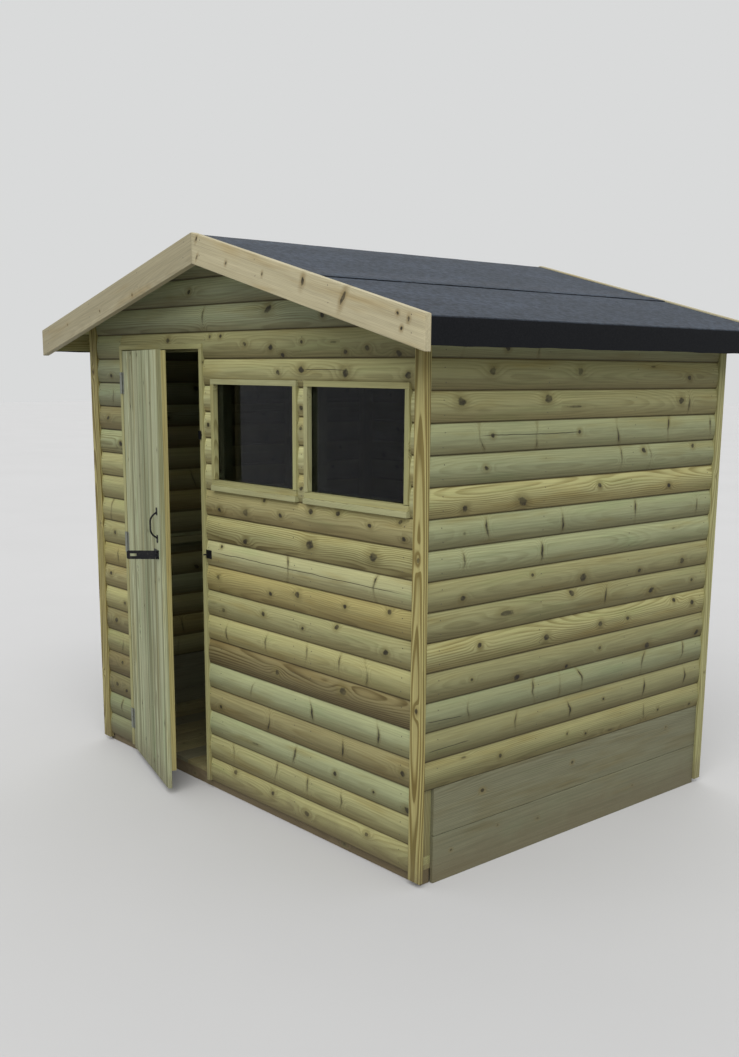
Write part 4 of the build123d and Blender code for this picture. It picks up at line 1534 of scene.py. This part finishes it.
@dataclass(frozen=True)
class Dressing:
    """How the bars of a node are dressed.

    Args:
        node: The CAD node.
        finish: Finish of its bars.
        tones: Tones for its bars.
        body: The body they move with.
        grain: Which way their grain runs.
        figure: Least and most strength of the growth rings.
        edge: Width of the broken edges.
        spacing: Usual distance between knots.
        knots: Least and most radius of a knot, in millimetres.
        joints: How many boards a solid is sawn into, and along which axis.
        sawn: Least and most size along that axis of the solids that are sawn.
        looks: Looks for some bars, by their order from left to right.
    """

    node: str
    finish: Finish
    tones: tuple[Tone, ...] = (Tone.STRAW, Tone.OLIVE)
    body: str = "shed"
    grain: Way = Way.LONGEST
    figure: Pair = (0.3, 0.8)
    edge: float = 0.0015
    spacing: float = 0.4
    knots: Pair = (4.0, 9.0)
    joints: tuple[int, Way] | None = None
    sawn: Pair = (0.0, 99.0)
    looks: dict[int, Look] = field(default_factory=dict)


class RestTurn:
    """Turn that brings the open door back to the closed place, where its bars lie square."""

    def __init__(self) -> None:
        """Read the door's hinge line and rest angle from the frame."""
        joint = next(j for j in frame["joints"] if j["name"] == "door_hinge")
        pivot = Vector(joint["pos_m"])
        angle = math.radians(joint["range_deg"][0])
        turn = Matrix.Rotation(angle, 4, Vector(joint["axis"]))
        self.to_closed = Matrix.Translation(pivot) @ turn @ Matrix.Translation(-pivot)
        self.to_rest = self.to_closed.inverted()


@dataclass
class Bars:
    """Makes bars and boards with broken edges from the solids of a node.

    Args:
        dressing: How they are dressed.
        turn: The door's rest turn.
        weld: Points closer than this become one.
        flat: Faces that turn by less than this become one.
        sharp: Edges that turn by more than this are broken.
        saw_gap: Half the gap between two boards of one solid.
    """

    dressing: Dressing
    turn: RestTurn
    weld: float = 2e-5
    flat: float = math.radians(0.6)
    sharp: float = math.radians(25)
    saw_gap: float = 0.0003

    def build(self) -> None:
        """Make the piece that stands for the node."""
        dressing = self.dressing
        mesh = TimberMesh(f"timber_{dressing.node}")
        shells = self.sawn(self.shells())
        shells.sort(key=self.middle)
        for index, shell in enumerate(shells):
            self.add_bar(mesh, shell, index)
        if dressing.body == "door":
            mesh.bm.transform(self.turn.to_rest)
        mesh.finish(dressing.finish, dressing.body, [dressing.node])

    @staticmethod
    def middle(shell: BMesh) -> tuple[float, ...]:
        """Middle of a shell, which sets its place in the order."""
        total = sum((vert.co for vert in shell.verts), Vector()) / len(shell.verts)
        return tuple(round(value, 3) for value in total)

    def shells(self) -> list[BMesh]:
        """Take the node's solids apart, with the door closed.

        Returns:
            Each solid as a mesh of its own.
        """
        whole = bmesh.new()
        whole.from_mesh(frame["nodes"][self.dressing.node].data)
        if self.dressing.body == "door":
            whole.transform(self.turn.to_closed)
        bmesh.ops.remove_doubles(whole, verts=whole.verts[:], dist=self.weld)
        bmesh.ops.dissolve_limit(whole, angle_limit=self.flat, verts=whole.verts[:], edges=whole.edges[:])
        seen: set[int] = set()
        shells = []
        whole.verts.index_update()
        for vert in whole.verts:
            if vert.index in seen:
                continue
            stack, group = [vert], set()
            while stack:
                current = stack.pop()
                if current.index in group:
                    continue
                group.add(current.index)
                stack.extend(edge.other_vert(current) for edge in current.link_edges)
            seen |= group
            shell = whole.copy()
            shell.verts.ensure_lookup_table()
            others = [v for v in shell.verts if v.index not in group]
            bmesh.ops.delete(shell, geom=others, context="VERTS")
            shells.append(shell)
        whole.free()
        return shells

    def sawn(self, shells: list[BMesh]) -> list[BMesh]:
        """Saw each solid into its boards, if the dressing says so.

        Args:
            shells: The node's solids.

        Returns:
            The boards.
        """
        if self.dressing.joints is None:
            return shells
        count, way = self.dressing.joints
        axis = way.value
        boards = []
        for shell in shells:
            values = [vert.co[axis] for vert in shell.verts]
            low, high = min(values), max(values)
            step = (high - low) / count
            if not self.dressing.sawn[0] <= high - low <= self.dressing.sawn[1]:
                boards.append(shell)
                continue
            for index in range(count):
                board = shell.copy()
                for edge, side in ((low + index * step, -1), (low + (index + 1) * step, 1)):
                    if abs(edge - low) < 1e-5 or abs(edge - high) < 1e-5:
                        continue
                    point, normal = Vector(), Vector()
                    point[axis] = edge - side * self.saw_gap
                    normal[axis] = side
                    cut = bmesh.ops.bisect_plane(
                        board,
                        geom=board.verts[:] + board.edges[:] + board.faces[:],
                        plane_co=point,
                        plane_no=normal,
                        clear_outer=True,
                    )
                    rim = [item for item in cut["geom_cut"] if isinstance(item, BMEdge)]
                    bmesh.ops.holes_fill(board, edges=rim, sides=0)
                boards.append(board)
            shell.free()
        return boards

    def add_bar(self, mesh: TimberMesh, shell: BMesh, index: int) -> None:
        """Break a bar's edges, divide it between its knots and add it to the mesh.

        Args:
            mesh: Where it goes.
            shell: The bar.
            index: Its place in the order.
        """
        dressing = self.dressing
        rng = random.Random(f"{dressing.node} {index}")
        axes, spans = self.axes_of(shell)
        look = dressing.looks.get(index) or self.any_bar(rng, spans)
        sharp = [
            edge
            for edge in shell.edges
            if len(edge.link_faces) == 2 and edge.calc_face_angle(0.0) > self.sharp
        ]
        bmesh.ops.bevel(
            shell,
            geom=sharp,
            offset=dressing.edge,
            offset_type="OFFSET",
            segments=2,
            profile=0.6,
            affect="EDGES",
            clamp_overlap=True,
        )
        for place in split_places(look.marks, 0.0, spans.x)[1:-1]:
            bmesh.ops.bisect_plane(
                shell,
                geom=shell.verts[:] + shell.edges[:] + shell.faces[:],
                plane_co=axes.place(place, 0.0, 0.0),
                plane_no=axes.along,
            )
        start = len(mesh.bm.faces)
        part = bpy.data.meshes.new("bar")
        shell.to_mesh(part)
        shell.free()
        mesh.bm.from_mesh(part)
        bpy.data.meshes.remove(part)
        mesh.bm.faces.ensure_lookup_table()
        mesh.paint(mesh.bm.faces[start:], axes, look, rng.uniform(0.1, 9.9))

    def axes_of(self, shell: BMesh) -> tuple[Axes, Vector]:
        """Directions and spans of a bar.

        Args:
            shell: The bar.

        Returns:
            Its axes, with the origin at its low corner, and its spans along them.
        """
        points = [vert.co for vert in shell.verts]
        low = Vector([min(p[i] for p in points) for i in range(3)])
        high = Vector([max(p[i] for p in points) for i in range(3)])
        spans = high - low
        order = sorted(range(3), key=lambda i: -spans[i])
        if self.dressing.grain is not Way.LONGEST:
            order.remove(self.dressing.grain.value)
            order.insert(0, self.dressing.grain.value)
        along, across = ((X, Y, Z)[i] for i in order[:2])
        if self.dressing.grain is Way.LONGEST:
            along = self.longest_edge(shell)
        across = (across - along * across.dot(along)).normalized()
        out = along.cross(across)
        axes = Axes(Vector(), along, across, out)
        local = [axes.local(p) for p in points]
        start = Vector([min(p[i] for p in local) for i in range(3)])
        size = Vector([max(p[i] for p in local) for i in range(3)]) - start
        return Axes(axes.place(*start), along, across, out), size

    @staticmethod
    def longest_edge(shell: BMesh) -> Vector:
        """Find the longest edge of a bar.

        Args:
            shell: The bar.

        Returns:
            The edge's direction, pointing up or to the right.
        """
        longest = max(shell.edges, key=lambda edge: edge.calc_length())
        run = (longest.verts[1].co - longest.verts[0].co).normalized()
        lead = max(range(3), key=lambda i: abs(run[i]))
        return run if run[lead] > 0 else -run

    def any_bar(self, rng: random.Random, spans: Vector) -> Look:
        """A made-up look for a bar.

        Args:
            rng: Generator for this bar.
            spans: Its size along, across and out.

        Returns:
            Its look.
        """
        dressing = self.dressing
        marks = []
        place = rng.uniform(0.05, dressing.spacing)
        while place < spans.x:
            size = min(rng.uniform(*dressing.knots), spans.y * 350)
            up = rng.uniform(0.2, 0.8) * spans.y
            marks.append(Mark(place, up, size * 0.0013, size * 0.001, 0.0, rng.uniform(0.5, 0.9)))
            place += dressing.spacing * rng.uniform(0.35, 1.7)
        return Look(
            rng.choice(dressing.tones), rng.uniform(*dressing.figure), tuple(marks),
            pith=rng.uniform(-0.4, 1.2) * spans.y, lift=rng.uniform(0.93, 1.07),
        )


# The left bargeboard's lift of 0.71 is painted shade; its wood is the same cream as the right one's
BARGE_LEFT = Look(Tone.CREAM, 0.2, (
    Mark(0.30, 0.07, 0.004, 0.005), Mark(0.62, 0.04, 0.004, 0.005), Mark(0.919, 0.022, 0.005, 0.006),
), pith=0.02, lift=0.71)
BARGE_RIGHT = Look(Tone.CREAM, 0.25, (
    Mark(0.047, 0.0999, 0.006, 0.012, 0.3), Mark(0.062, 0.031, 0.005, 0.011, 0.2),
    Mark(0.268, 0.049, 0.006, 0.008), Mark(0.512, 0.057, 0.005, 0.008),
    Mark(0.756, 0.082, 0.009, 0.017, 0.1, 1.0), Mark(0.994, 0.075, 0.009, 0.025, 0.2, 1.0),
    Mark(1.282, 0.088, 0.006, 0.006, 0.0, 1.0), Mark(1.310, 0.045, 0.006, 0.007, 0.0, 1.0),
    Mark(1.338, 0.082, 0.006, 0.009, 0.0, 1.0),
), pith=0.15)
CORNER_RIGHT = Look(Tone.HONEY, 2.2, (
    Mark(0.667, 0.033, 0.012, 0.009), Mark(1.229, 0.031, 0.012, 0.009),
), pith=0.031, lift=1.12)
TREATED = (Tone.STRAW, Tone.OLIVE, Tone.TAN)
WINDOW_BARS = Dressing(
    "window_left_frame", Finish.TRIM, (Tone.STRAW, Tone.PALE), edge=0.001, spacing=0.5, knots=(2.0, 4.0),
    joints=(2, Way.Z), sawn=(0.04, 0.06),
)
DRESSINGS: tuple[Dressing, ...] = (
    Dressing("floor_bearers", Finish.BEARER, (Tone.SAWN,)),
    Dressing("floor_boards", Finish.FLOORING, (Tone.TAN, Tone.DRIFT), grain=Way.Y, joints=(19, Way.X)),
    Dressing("side_plinths", Finish.PLINTH, (Tone.DRIFT,), figure=(0.3, 0.5), edge=0.002),
    Dressing(
        "front_corner_boards", Finish.CORNER, (Tone.HONEY,), figure=(1.8, 2.2), edge=0.0025, spacing=0.7,
        looks={1: CORNER_RIGHT},
    ),
    Dressing("rear_corner_boards", Finish.CORNER, (Tone.STRAW,), figure=(0.8, 1.0), edge=0.002, spacing=0.6),
    *(Dressing(f"{wall}_framing", Finish.FRAMING, TREATED) for wall in ("front", "rear", "left", "right")),
    Dressing("door_trim", Finish.TRIM, (Tone.STRAW, Tone.OLIVE), spacing=0.6, knots=(3.0, 5.0)),
    Dressing("door_stops", Finish.TRIM, (Tone.STRAW,), spacing=0.6, knots=(3.0, 5.0)),
    WINDOW_BARS,
    replace(WINDOW_BARS, node="window_right_frame"),
    Dressing("roof_timbers", Finish.FRAMING, TREATED),
    *(
        Dressing(f"roof_boards_{side}", Finish.ROOFING, TREATED, joints=(18, Way.Y), edge=0.0006)
        for side in ("right", "left")
    ),
    Dressing("eaves_fascias", Finish.ROOFING, TREATED),
    Dressing(
        "front_bargeboards", Finish.BARGE, (Tone.CREAM,), figure=(0.15, 0.25), edge=0.003,
        looks={0: BARGE_LEFT, 1: BARGE_RIGHT},
    ),
    Dressing("rear_bargeboards", Finish.BARGE, (Tone.CREAM,), figure=(0.15, 0.3), edge=0.003, spacing=0.35),
    Dressing(
        "door_boards", Finish.DOOR, (Tone.SAGE, Tone.MOSS, Tone.SAGE, Tone.PALE), body="door", grain=Way.Z,
        figure=(0.6, 1.0), edge=0.0032, spacing=0.5, knots=(4.0, 8.0), joints=(6, Way.X),
    ),
    Dressing("door_battens", Finish.BATTEN, (Tone.HONEY, Tone.STRAW), "door"),
)


# Roof felt


@dataclass
class RoofFelt:
    """Felt in three strips: one down each slope and over its eave, and one over the ridge.

    Args:
        front: Where the felt starts.
        rear: Where it ends.
        board: Thickness of the roof boards under it.
        sheet: Thickness of the felt.
        lap_reach: How far down each slope the ridge strip comes.
        lap_width: How much of the lower strip it covers.
        climb: Length over which it climbs onto the lower strip.
        play: Play between the two strips.
        eave: Distance of the turned down felt from the middle of the roof.
        drop: How far it hangs over the eave.
        fold: Radius of the bend there.
        fold_start: Where the bend starts, inwards of the eave.
        flare: How far the hanging part leans in with each of its parts.
        swell: Unevenness over the lap: distances from the strip's step and heights.
        parts: Parts of a slope, of the bend and of the hanging part.
        ridge_parts: Parts of the ridge strip on each slope.
        rows: Parts along the roof.
        ripple: Height of its unevenness.
        waves: Strength of each wave, and its turns along and across the roof.
        fringe: Height from the hanging edge up to which the edge waves.
        edge_waves: Height of each of the edge's waves, and its turns along the roof.
    """

    front: float = -1.060
    rear: float = 1.035
    board: float = 0.012
    sheet: float = 0.003
    lap_reach: float = 0.802
    lap_width: float = 0.085
    climb: float = 0.015
    play: float = 0.0003
    eave: float = 1.361
    drop: float = 0.095
    fold: float = 0.006
    fold_start: float = 0.008
    flare: float = 0.0004
    swell: tuple[Pair, ...] = ((0.001, 0.0), (0.045, 0.0006), (0.0813, 0.0012))
    parts: tuple[int, int, int] = (8, 5, 4)
    ridge_parts: int = 6
    rows: int = 64
    ripple: float = 0.00022
    waves: tuple[tuple[float, float, float], ...] = ((1.0, 7.0, 3.0), (1.0, 17.0, -6.0), (0.6, 31.0, 11.0))
    fringe: float = 0.012
    edge_waves: tuple[Pair, Pair] = ((0.0011, 9.0), (0.0006, 37.0))

    def slope(self, distance: float, height: float) -> Pair:
        """Point at a distance down the slope and a height square to it."""
        sine, cosine = math.sin(PITCH), math.cos(PITCH)
        return (distance * cosine + height * sine, UNDERSIDE - distance * sine + height * cosine)

    def eave_line(self, height: float) -> Pair:
        """Where a layer at a height over the boards meets the plane of the eave."""
        return (self.eave, UNDERSIDE + height / math.cos(PITCH) - self.eave * RISE)

    def build(self) -> None:
        """Make the three strips."""
        for side, node in ((1, "felt_right"), (-1, "felt_left")):
            self.strip(node, self.lower_section(side), side)
        self.strip("felt_ridge", self.upper_section(), 0)

    def lower_section(self, side: int) -> list[Pair]:
        """Lay out the closed section of the strip that folds down over the eave.

        Args:
            side: 1 for the right slope, -1 for the left.

        Returns:
            Its points, across the roof and up.
        """
        parts, bends, folds = self.parts
        low, high, fold = self.board, self.board + self.sheet, self.fold
        start = self.lap_reach - self.lap_width
        length = (self.eave - self.fold_start) / math.cos(PITCH)
        reaches = [start + (length - start) * i / parts for i in range(parts + 1)]
        outer = [self.slope(reach, high) for reach in reaches]
        corner_x, corner_z = self.eave_line(high)
        quarter = math.pi / 2 - PITCH
        for step in range(1, bends + 1):
            angle = quarter - quarter * step / bends
            outer.append((corner_x - fold + fold * math.cos(angle), corner_z - fold + fold * math.sin(angle)))
        for step in range(1, folds + 1):
            fall = (self.drop - fold) * step / folds
            outer.append((corner_x - self.flare * step, corner_z - fold - fall))
        inner = [(corner_x - self.sheet, corner_z - self.drop), (corner_x - self.sheet, corner_z - fold)]
        inner += [self.slope(reach, low) for reach in reversed(reaches)]
        return [(side * x, z) for x, z in outer + inner]

    def upper_section(self) -> list[Pair]:
        """Lay out the closed section of the strip over the ridge.

        Returns:
            Its points, across the roof and up.
        """
        low = self.board
        mid, high = low + self.sheet, low + 2 * self.sheet
        start = self.lap_reach - self.lap_width - self.play
        parts = self.ridge_parts
        outer = [self.slope((start - self.climb) * i / parts, mid) for i in range(1, parts + 1)]
        outer += [self.slope(start + out, high + up) for out, up in self.swell]
        inner = [self.slope(self.lap_reach, mid), self.slope(start, mid), self.slope(start, low)]
        inner += [self.slope(start * i / parts, low) for i in range(parts - 1, 0, -1)]
        top = (0.0, UNDERSIDE + mid / math.cos(PITCH))
        bottom = (0.0, UNDERSIDE + low / math.cos(PITCH))
        right = outer + [self.slope(self.lap_reach, high)] + inner
        return [top] + right + [bottom] + [(-x, z) for x, z in reversed(right)]

    def strip(self, node: str, section: list[Pair], side: int) -> None:
        """Draw a section out along the roof with a slight unevenness.

        Args:
            node: The CAD node that the strip stands for.
            section: Its closed section.
            side: 1 for the right slope, -1 for the left, 0 for the ridge.
        """
        bm = bmesh.new()
        rng = random.Random(node)
        phases = [rng.uniform(0, 6.28) for _ in range(4)]
        edge_top = self.eave_line(self.board)[1] - self.drop + self.fringe
        edge_phases = (phases[3], 0.0)
        rings = []
        for row in range(self.rows + 1):
            y = self.front + (self.rear - self.front) * row / self.rows
            ring = []
            for x, z in section:
                wave = sum(
                    strength * math.sin(along * y + across * x + phase)
                    for (strength, along, across), phase in zip(self.waves, phases)
                )
                edge = 0.0
                if side and z < edge_top:
                    waves = zip(self.edge_waves, edge_phases)
                    edge = sum(height * math.sin(turns * y + phase) for (height, turns), phase in waves)
                ring.append(bm.verts.new((x, y, z + self.ripple * wave + edge)))
            rings.append(ring)
        join_rows(bm, rings)
        bmesh.ops.recalc_face_normals(bm, faces=bm.faces[:])
        place_piece(bm, f"sheet_{node}", Finish.FELT, "shed", [node], smooth=40.0)


# Ironmongery, nails and screws


def lathe_stud(bm: BMesh, centre: Vector, normal: Vector, profile: Sequence[Pair], sides: int) -> None:
    """Add a small turned form, such as a nail or screw head.

    Args:
        bm: Where it goes.
        centre: Middle of its foot.
        normal: Direction it points in.
        profile: Radius and height from its foot to its middle.
        sides: Sides of the form.
    """
    first = normal.orthogonal().normalized()
    second = normal.cross(first)
    rings = []
    for radius, height in profile:
        middle = centre + normal * height
        if radius < 1e-6:
            rings.append([bm.verts.new(middle)])
            continue
        ring = []
        for index in range(sides):
            angle = 2 * math.pi * index / sides
            ring.append(bm.verts.new(middle + (first * math.cos(angle) + second * math.sin(angle)) * radius))
        rings.append(ring)
    for low, high in zip(rings[:-1], rings[1:]):
        for index in range(sides):
            after = (index + 1) % sides
            if len(high) == 1:
                bm.faces.new((low[index], low[after], high[0]))
            else:
                bm.faces.new((low[index], low[after], high[after], high[index]))
    bm.faces.new(list(reversed(rings[0])))


NAIL = ((0.0021, -0.0006), (0.0021, 0.0002), (0.0016, 0.0005), (0.0, 0.00055))
SCREW = ((0.0031, -0.0006), (0.0031, 0.0004), (0.0022, 0.0010), (0.0011, 0.0011), (0.0, 0.0002))


@dataclass
class Nails:
    """Nail heads in the cladding and in the bargeboards.

    Args:
        rows: Heights of the two nails in a board, as shares of its cover.
        stray: Most that a nail strays along the board.
        sink: How deep its head sits in the board.
        front_studs: Places of the front wall's studs, each with the courses that it holds.
        side_studs: Places of the side walls' studs.
        rear_studs: Places of the rear wall's studs.
        barge_faces: Faces of the front and the rear bargeboards.
        barge_reaches: Distances of their nails down the slope.
        barge_heights: Heights of these nails over the underside of the roof boards.
        barge_stray: Most that these nails stray.
    """

    rows: Pair = (0.24, 0.70)
    stray: float = 0.006
    sink: float = 0.0002
    front_studs: tuple[tuple[float, range], ...] = (
        (-1.125, range(18)), (-0.918, range(18)), (-0.190, range(18)), (-0.105, range(12)),
        (0.433, range(12)), (0.544, range(12)), (1.082, range(12)), (0.488, range(12, 18)),
    )
    side_studs: tuple[float, ...] = (-0.831, -0.277, 0.277, 0.831)
    rear_studs: tuple[float, ...] = (-1.160, -0.583, 0.0, 0.583, 1.160)
    barge_faces: Pair = (-1.090, 1.0643)
    barge_reaches: tuple[float, ...] = (0.06, 0.45, 0.9, 1.34)
    barge_heights: Pair = (0.002, -0.055)
    barge_stray: float = 0.004
    bm: BMesh = field(default_factory=bmesh.new, init=False)
    rng: random.Random = field(default_factory=lambda: random.Random("nails"), init=False)

    def build(self) -> None:
        """Make the nails of the walls and of the bargeboards."""
        for x, courses in self.front_studs:
            self.stud(x * X + FRONT_Y * Y, X, -Y, courses)
        for side in (1, -1):
            for y in self.side_studs:
                self.stud(side * RIGHT_X * X + y * Y, Y, side * X, range(SIDE_COURSE, GABLE_COURSE))
        for x in self.rear_studs:
            self.stud(x * X + REAR_Y * Y, X, Y, range(GABLE_COURSE))
        self.barges()
        place_piece(self.bm, "nail_heads", Finish.NAIL, "shed")

    def stud(self, foot: Vector, along: Vector, normal: Vector, courses: range) -> None:
        """Nail the boards to one stud, twice in each course.

        Args:
            foot: Point of the wall face in front of the stud, at ground level.
            along: Direction along the boards.
            normal: Direction that the wall faces.
            courses: Courses that the stud holds.
        """
        face = BoardShape().face_points()
        for course in courses:
            for share in self.rows:
                height = share * COVER
                setback = min(face, key=lambda p: abs(p[1] - height))[0]
                place = foot + along * self.rng.uniform(-self.stray, self.stray)
                place.z = WALL_BASE + course * COVER + height
                lathe_stud(self.bm, place - normal * (setback + self.sink), normal, NAIL, sides=8)

    def barges(self) -> None:
        """Nail the bargeboards, in pairs at each rafter end."""
        for face, facing in zip(self.barge_faces, (-1, 1)):
            for side, reach, height in product((1, -1), self.barge_reaches, self.barge_heights):
                stray = self.rng.uniform(-self.barge_stray, self.barge_stray)
                x = side * (reach * math.cos(PITCH) + stray)
                z = UNDERSIDE + height / math.cos(PITCH) - abs(x) * RISE
                lathe_stud(self.bm, Vector((x, face, z)), facing * Y, NAIL, sides=8)


@dataclass
class Ironmongery:
    """Hinges, handle, hasp, staple and turn button, with their screws.

    Insets and places of screws are measured from the closed door's closing edge, from the hasp's level
    or from the hinge line, and pitches are half the distance between two screws.

    Args:
        turn: The door's rest turn.
    """

    turn: RestTurn
    face: float = -0.923
    door_left: float = -0.879
    door_width: float = 0.650
    hasp_level: float = 1.101
    handle_inset: float = 0.067
    handle_rise: float = 0.052
    handle_length: float = 0.156
    pad_middle: float = 0.007
    pad_thick: float = 0.003
    plate_screws: Pair = (0.119, 0.085)
    plate_pitch: float = 0.011
    plate_thick: float = 0.0025
    hinge_levels: tuple[float, ...] = (0.183, 1.077, 1.840)
    hinge_gap: float = 0.0025
    hinge_thick: float = 0.0017
    hinge_screws: tuple[Pair, ...] = ((0.0125, -0.036), (0.0165, -0.012), (0.0125, 0.014), (0.0165, 0.038))
    staple_middle: float = 0.0483
    staple_thick: float = 0.0024
    staple_screws: Pair = (0.014, 0.013)

    @property
    def closing_edge(self) -> float:
        """The edge of the closed door that the handle is on."""
        return self.door_left + self.door_width

    def build(self) -> None:
        """Dress the CAD pieces and add the screws."""
        black = ("door_handle", "hasp_plate", "hasp_flap", "hasp_staple", "turn_button", "turn_button_pivot")
        for node in black:
            self.dress(node, Finish.BLACK)
        for node in ("hinge_frame_leaves", "hinge_door_leaves"):
            self.dress(node, Finish.ZINC)
        self.screws("screws_on_door", "door", self.door_spots(), True, Finish.BLACK)
        self.screws("screws_hinge_door", "door", self.hinge_spots(1), True, Finish.ZINC)
        self.screws("screws_hinge_frame", "shed", self.hinge_spots(-1), False, Finish.ZINC)
        self.screws("screws_staple", "shed", self.staple_spots(), False, Finish.BLACK)

    @staticmethod
    def dress(node: str, finish: Finish) -> None:
        """Give a CAD node its finish.

        Args:
            node: The node.
            finish: Its finish.
        """
        materials = frame["nodes"][node].data.materials
        materials.clear()
        materials.append(finish.material())
        LOG.info("%s: finish %s", node, finish.value.name)

    def door_spots(self) -> list[Vector]:
        """Set out the screws of the handle's pads and the hasp's plate.

        Returns:
            Their places on the closed door.
        """
        x, low = self.closing_edge - self.handle_inset, self.hasp_level + self.handle_rise
        pads = (low + self.pad_middle, low + self.handle_length - self.pad_middle)
        spots = [Vector((x, self.face - self.pad_thick, z)) for z in pads]
        for inset, rise in product(self.plate_screws, (-self.plate_pitch, self.plate_pitch)):
            x, z = self.closing_edge - inset, self.hasp_level + rise
            spots.append(Vector((x, self.face - self.plate_thick, z)))
        return spots

    def hinge_spots(self, side: int) -> list[Vector]:
        """Set out the screws of the hinge leaves.

        Args:
            side: 1 for the leaves on the door, -1 for those on the frame.

        Returns:
            Their places, with the door closed.
        """
        line = self.door_left - self.hinge_gap
        spots = []
        for level, (out, rise) in product(self.hinge_levels, self.hinge_screws):
            spots.append(Vector((line + side * out, self.face - self.hinge_thick, level + rise)))
        return spots

    def staple_spots(self) -> list[Vector]:
        """Set out the screws of the staple's plate.

        Returns:
            Their places.
        """
        middle, y = self.closing_edge + self.staple_middle, FRONT_Y - self.staple_thick
        across, up = self.staple_screws
        shifts = product((-across, across), (-up, up))
        return [Vector((middle + dx, y, self.hasp_level + dz)) for dx, dz in shifts]

    def screws(self, name: str, body: str, spots: list[Vector], swung: bool, finish: Finish) -> None:
        """Add screw heads.

        Args:
            name: Name of the piece.
            body: The body they move with.
            spots: Their places, with the door closed.
            swung: Whether they turn with the door to its rest place.
            finish: Their finish.
        """
        bm = bmesh.new()
        for spot in spots:
            lathe_stud(bm, spot, -Y, SCREW, sides=12)
        if swung:
            bm.transform(self.turn.to_rest)
        place_piece(bm, name, finish, body)


# Stage, light and camera


@dataclass
class Studio:
    """Pale floor, soft lights and the camera.

    The focal distance, the frame's height and the drop of the lens's axis under its middle are in
    pixels of the photo.
    """

    place: tuple[float, float, float] = (4.11939, -3.73609, 1.90558)
    yaw: float = math.radians(-48.755)
    pitch: float = math.radians(-11.246)
    roll: float = math.radians(0.403)
    focal: float = 1159.87
    frame_height: float = 1057.0
    principal_drop: float = 72.84
    backdrop: Colour = screen(217, 218, 218)
    low_sky: Colour = (0.26, 0.27, 0.29, 1.0)
    high_sky: Colour = (0.86, 0.88, 0.92, 1.0)
    floor_half: float = 60.0

    def build(self) -> None:
        """Make the floor, the lights and the camera."""
        self.floor()
        self.world()
        self.lamp("key", (0.60, -0.66, 0.84), 2.5, 60.0)
        self.lamp("fill", (-0.9, 0.7, 0.8), 0.6, 60.0)
        self.camera()

    def floor(self) -> None:
        """Make a large plain floor."""
        bm = bmesh.new()
        bmesh.ops.create_grid(bm, x_segments=2, y_segments=2, size=self.floor_half)
        mesh = bpy.data.meshes.new("studio_floor")
        bm.to_mesh(mesh)
        bm.free()
        material, w, shader = new_surface("studio_floor")
        shade = w.mix(w.noise(w.place(), 0.7, 3.0), screen(184, 183, 181), screen(190, 189, 187))
        w.feed(shader.inputs["Base Color"], shade)
        shader.inputs["Roughness"].default_value = 0.9
        shader.inputs["Specular IOR Level"].default_value = 0.1
        mesh.materials.append(material)
        floor = bpy.data.objects.new("studio_floor", mesh)
        bpy.context.scene.collection.objects.link(floor)

    def world(self) -> None:
        """Make an even pale light that is stronger from above, and a plain backdrop."""
        scene = bpy.context.scene
        scene.world = scene.world or bpy.data.worlds.new("studio")
        scene.world.use_nodes = True
        scene.view_settings.view_transform = "Standard"
        background = scene.world.node_tree.nodes["Background"]
        w = Wiring(scene.world.node_tree)
        height = w.split(w.add("ShaderNodeTexCoord").outputs["Generated"])[2]
        sky = w.mix(w.ramp(height, -0.1, 0.9), self.low_sky, self.high_sky)
        ray = w.add("ShaderNodeLightPath").outputs
        mirrored = w.math("MAXIMUM", ray["Is Glossy Ray"], ray["Is Transmission Ray"])
        seen = w.math("MAXIMUM", ray["Is Camera Ray"], mirrored)
        w.feed(background.inputs["Color"], w.mix(seen, sky, self.backdrop))
        background.inputs["Strength"].default_value = 1.0

    def lamp(self, name: str, aim: tuple[float, float, float], power: float, spread: float) -> None:
        """Add a broad lamp that lights the whole floor evenly.

        Args:
            name: Its name.
            aim: Direction that its light comes from.
            power: Its strength.
            spread: How wide it looks from the shed, in degrees.
        """
        data = bpy.data.lights.new(name, "SUN")
        data.energy, data.angle = power, math.radians(spread)
        lamp = bpy.data.objects.new(name, data)
        lamp.rotation_euler = Vector(aim).to_track_quat("Z", "Y").to_euler()
        bpy.context.scene.collection.objects.link(lamp)

    def camera(self) -> None:
        """Place the camera at the measured point of view."""
        forward = Vector(
            (
                math.sin(self.yaw) * math.cos(self.pitch),
                math.cos(self.yaw) * math.cos(self.pitch),
                math.sin(self.pitch),
            )
        )
        level = Vector((math.cos(self.yaw), -math.sin(self.yaw), 0.0))
        upright = level.cross(forward)
        right = level * math.cos(self.roll) + upright * math.sin(self.roll)
        up = upright * math.cos(self.roll) - level * math.sin(self.roll)
        data = bpy.data.cameras.new("camera")
        data.sensor_width = 36.0
        data.lens = self.focal / self.frame_height * data.sensor_width
        data.shift_y = self.principal_drop / self.frame_height
        data.clip_end = 200.0
        camera = bpy.data.objects.new("camera", data)
        turn = Matrix((right, up, -forward)).transposed().to_4x4()
        camera.matrix_world = Matrix.Translation(Vector(self.place)) @ turn
        bpy.context.scene.collection.objects.link(camera)
        bpy.context.scene.camera = camera


def main() -> None:
    """Build the shed's pieces, the stage and the camera, in order."""
    logging.basicConfig(level=logging.INFO, format="%(name)s %(message)s")
    turn = RestTurn()
    Studio().build()
    Walls().build()
    for dressing in DRESSINGS:
        Bars(dressing, turn).build()
    RoofFelt().build()
    Ironmongery(turn).build()
    Ironmongery.dress("window_panes", Finish.PANE)
    Nails().build()


if __name__ == "__main__":
    main()
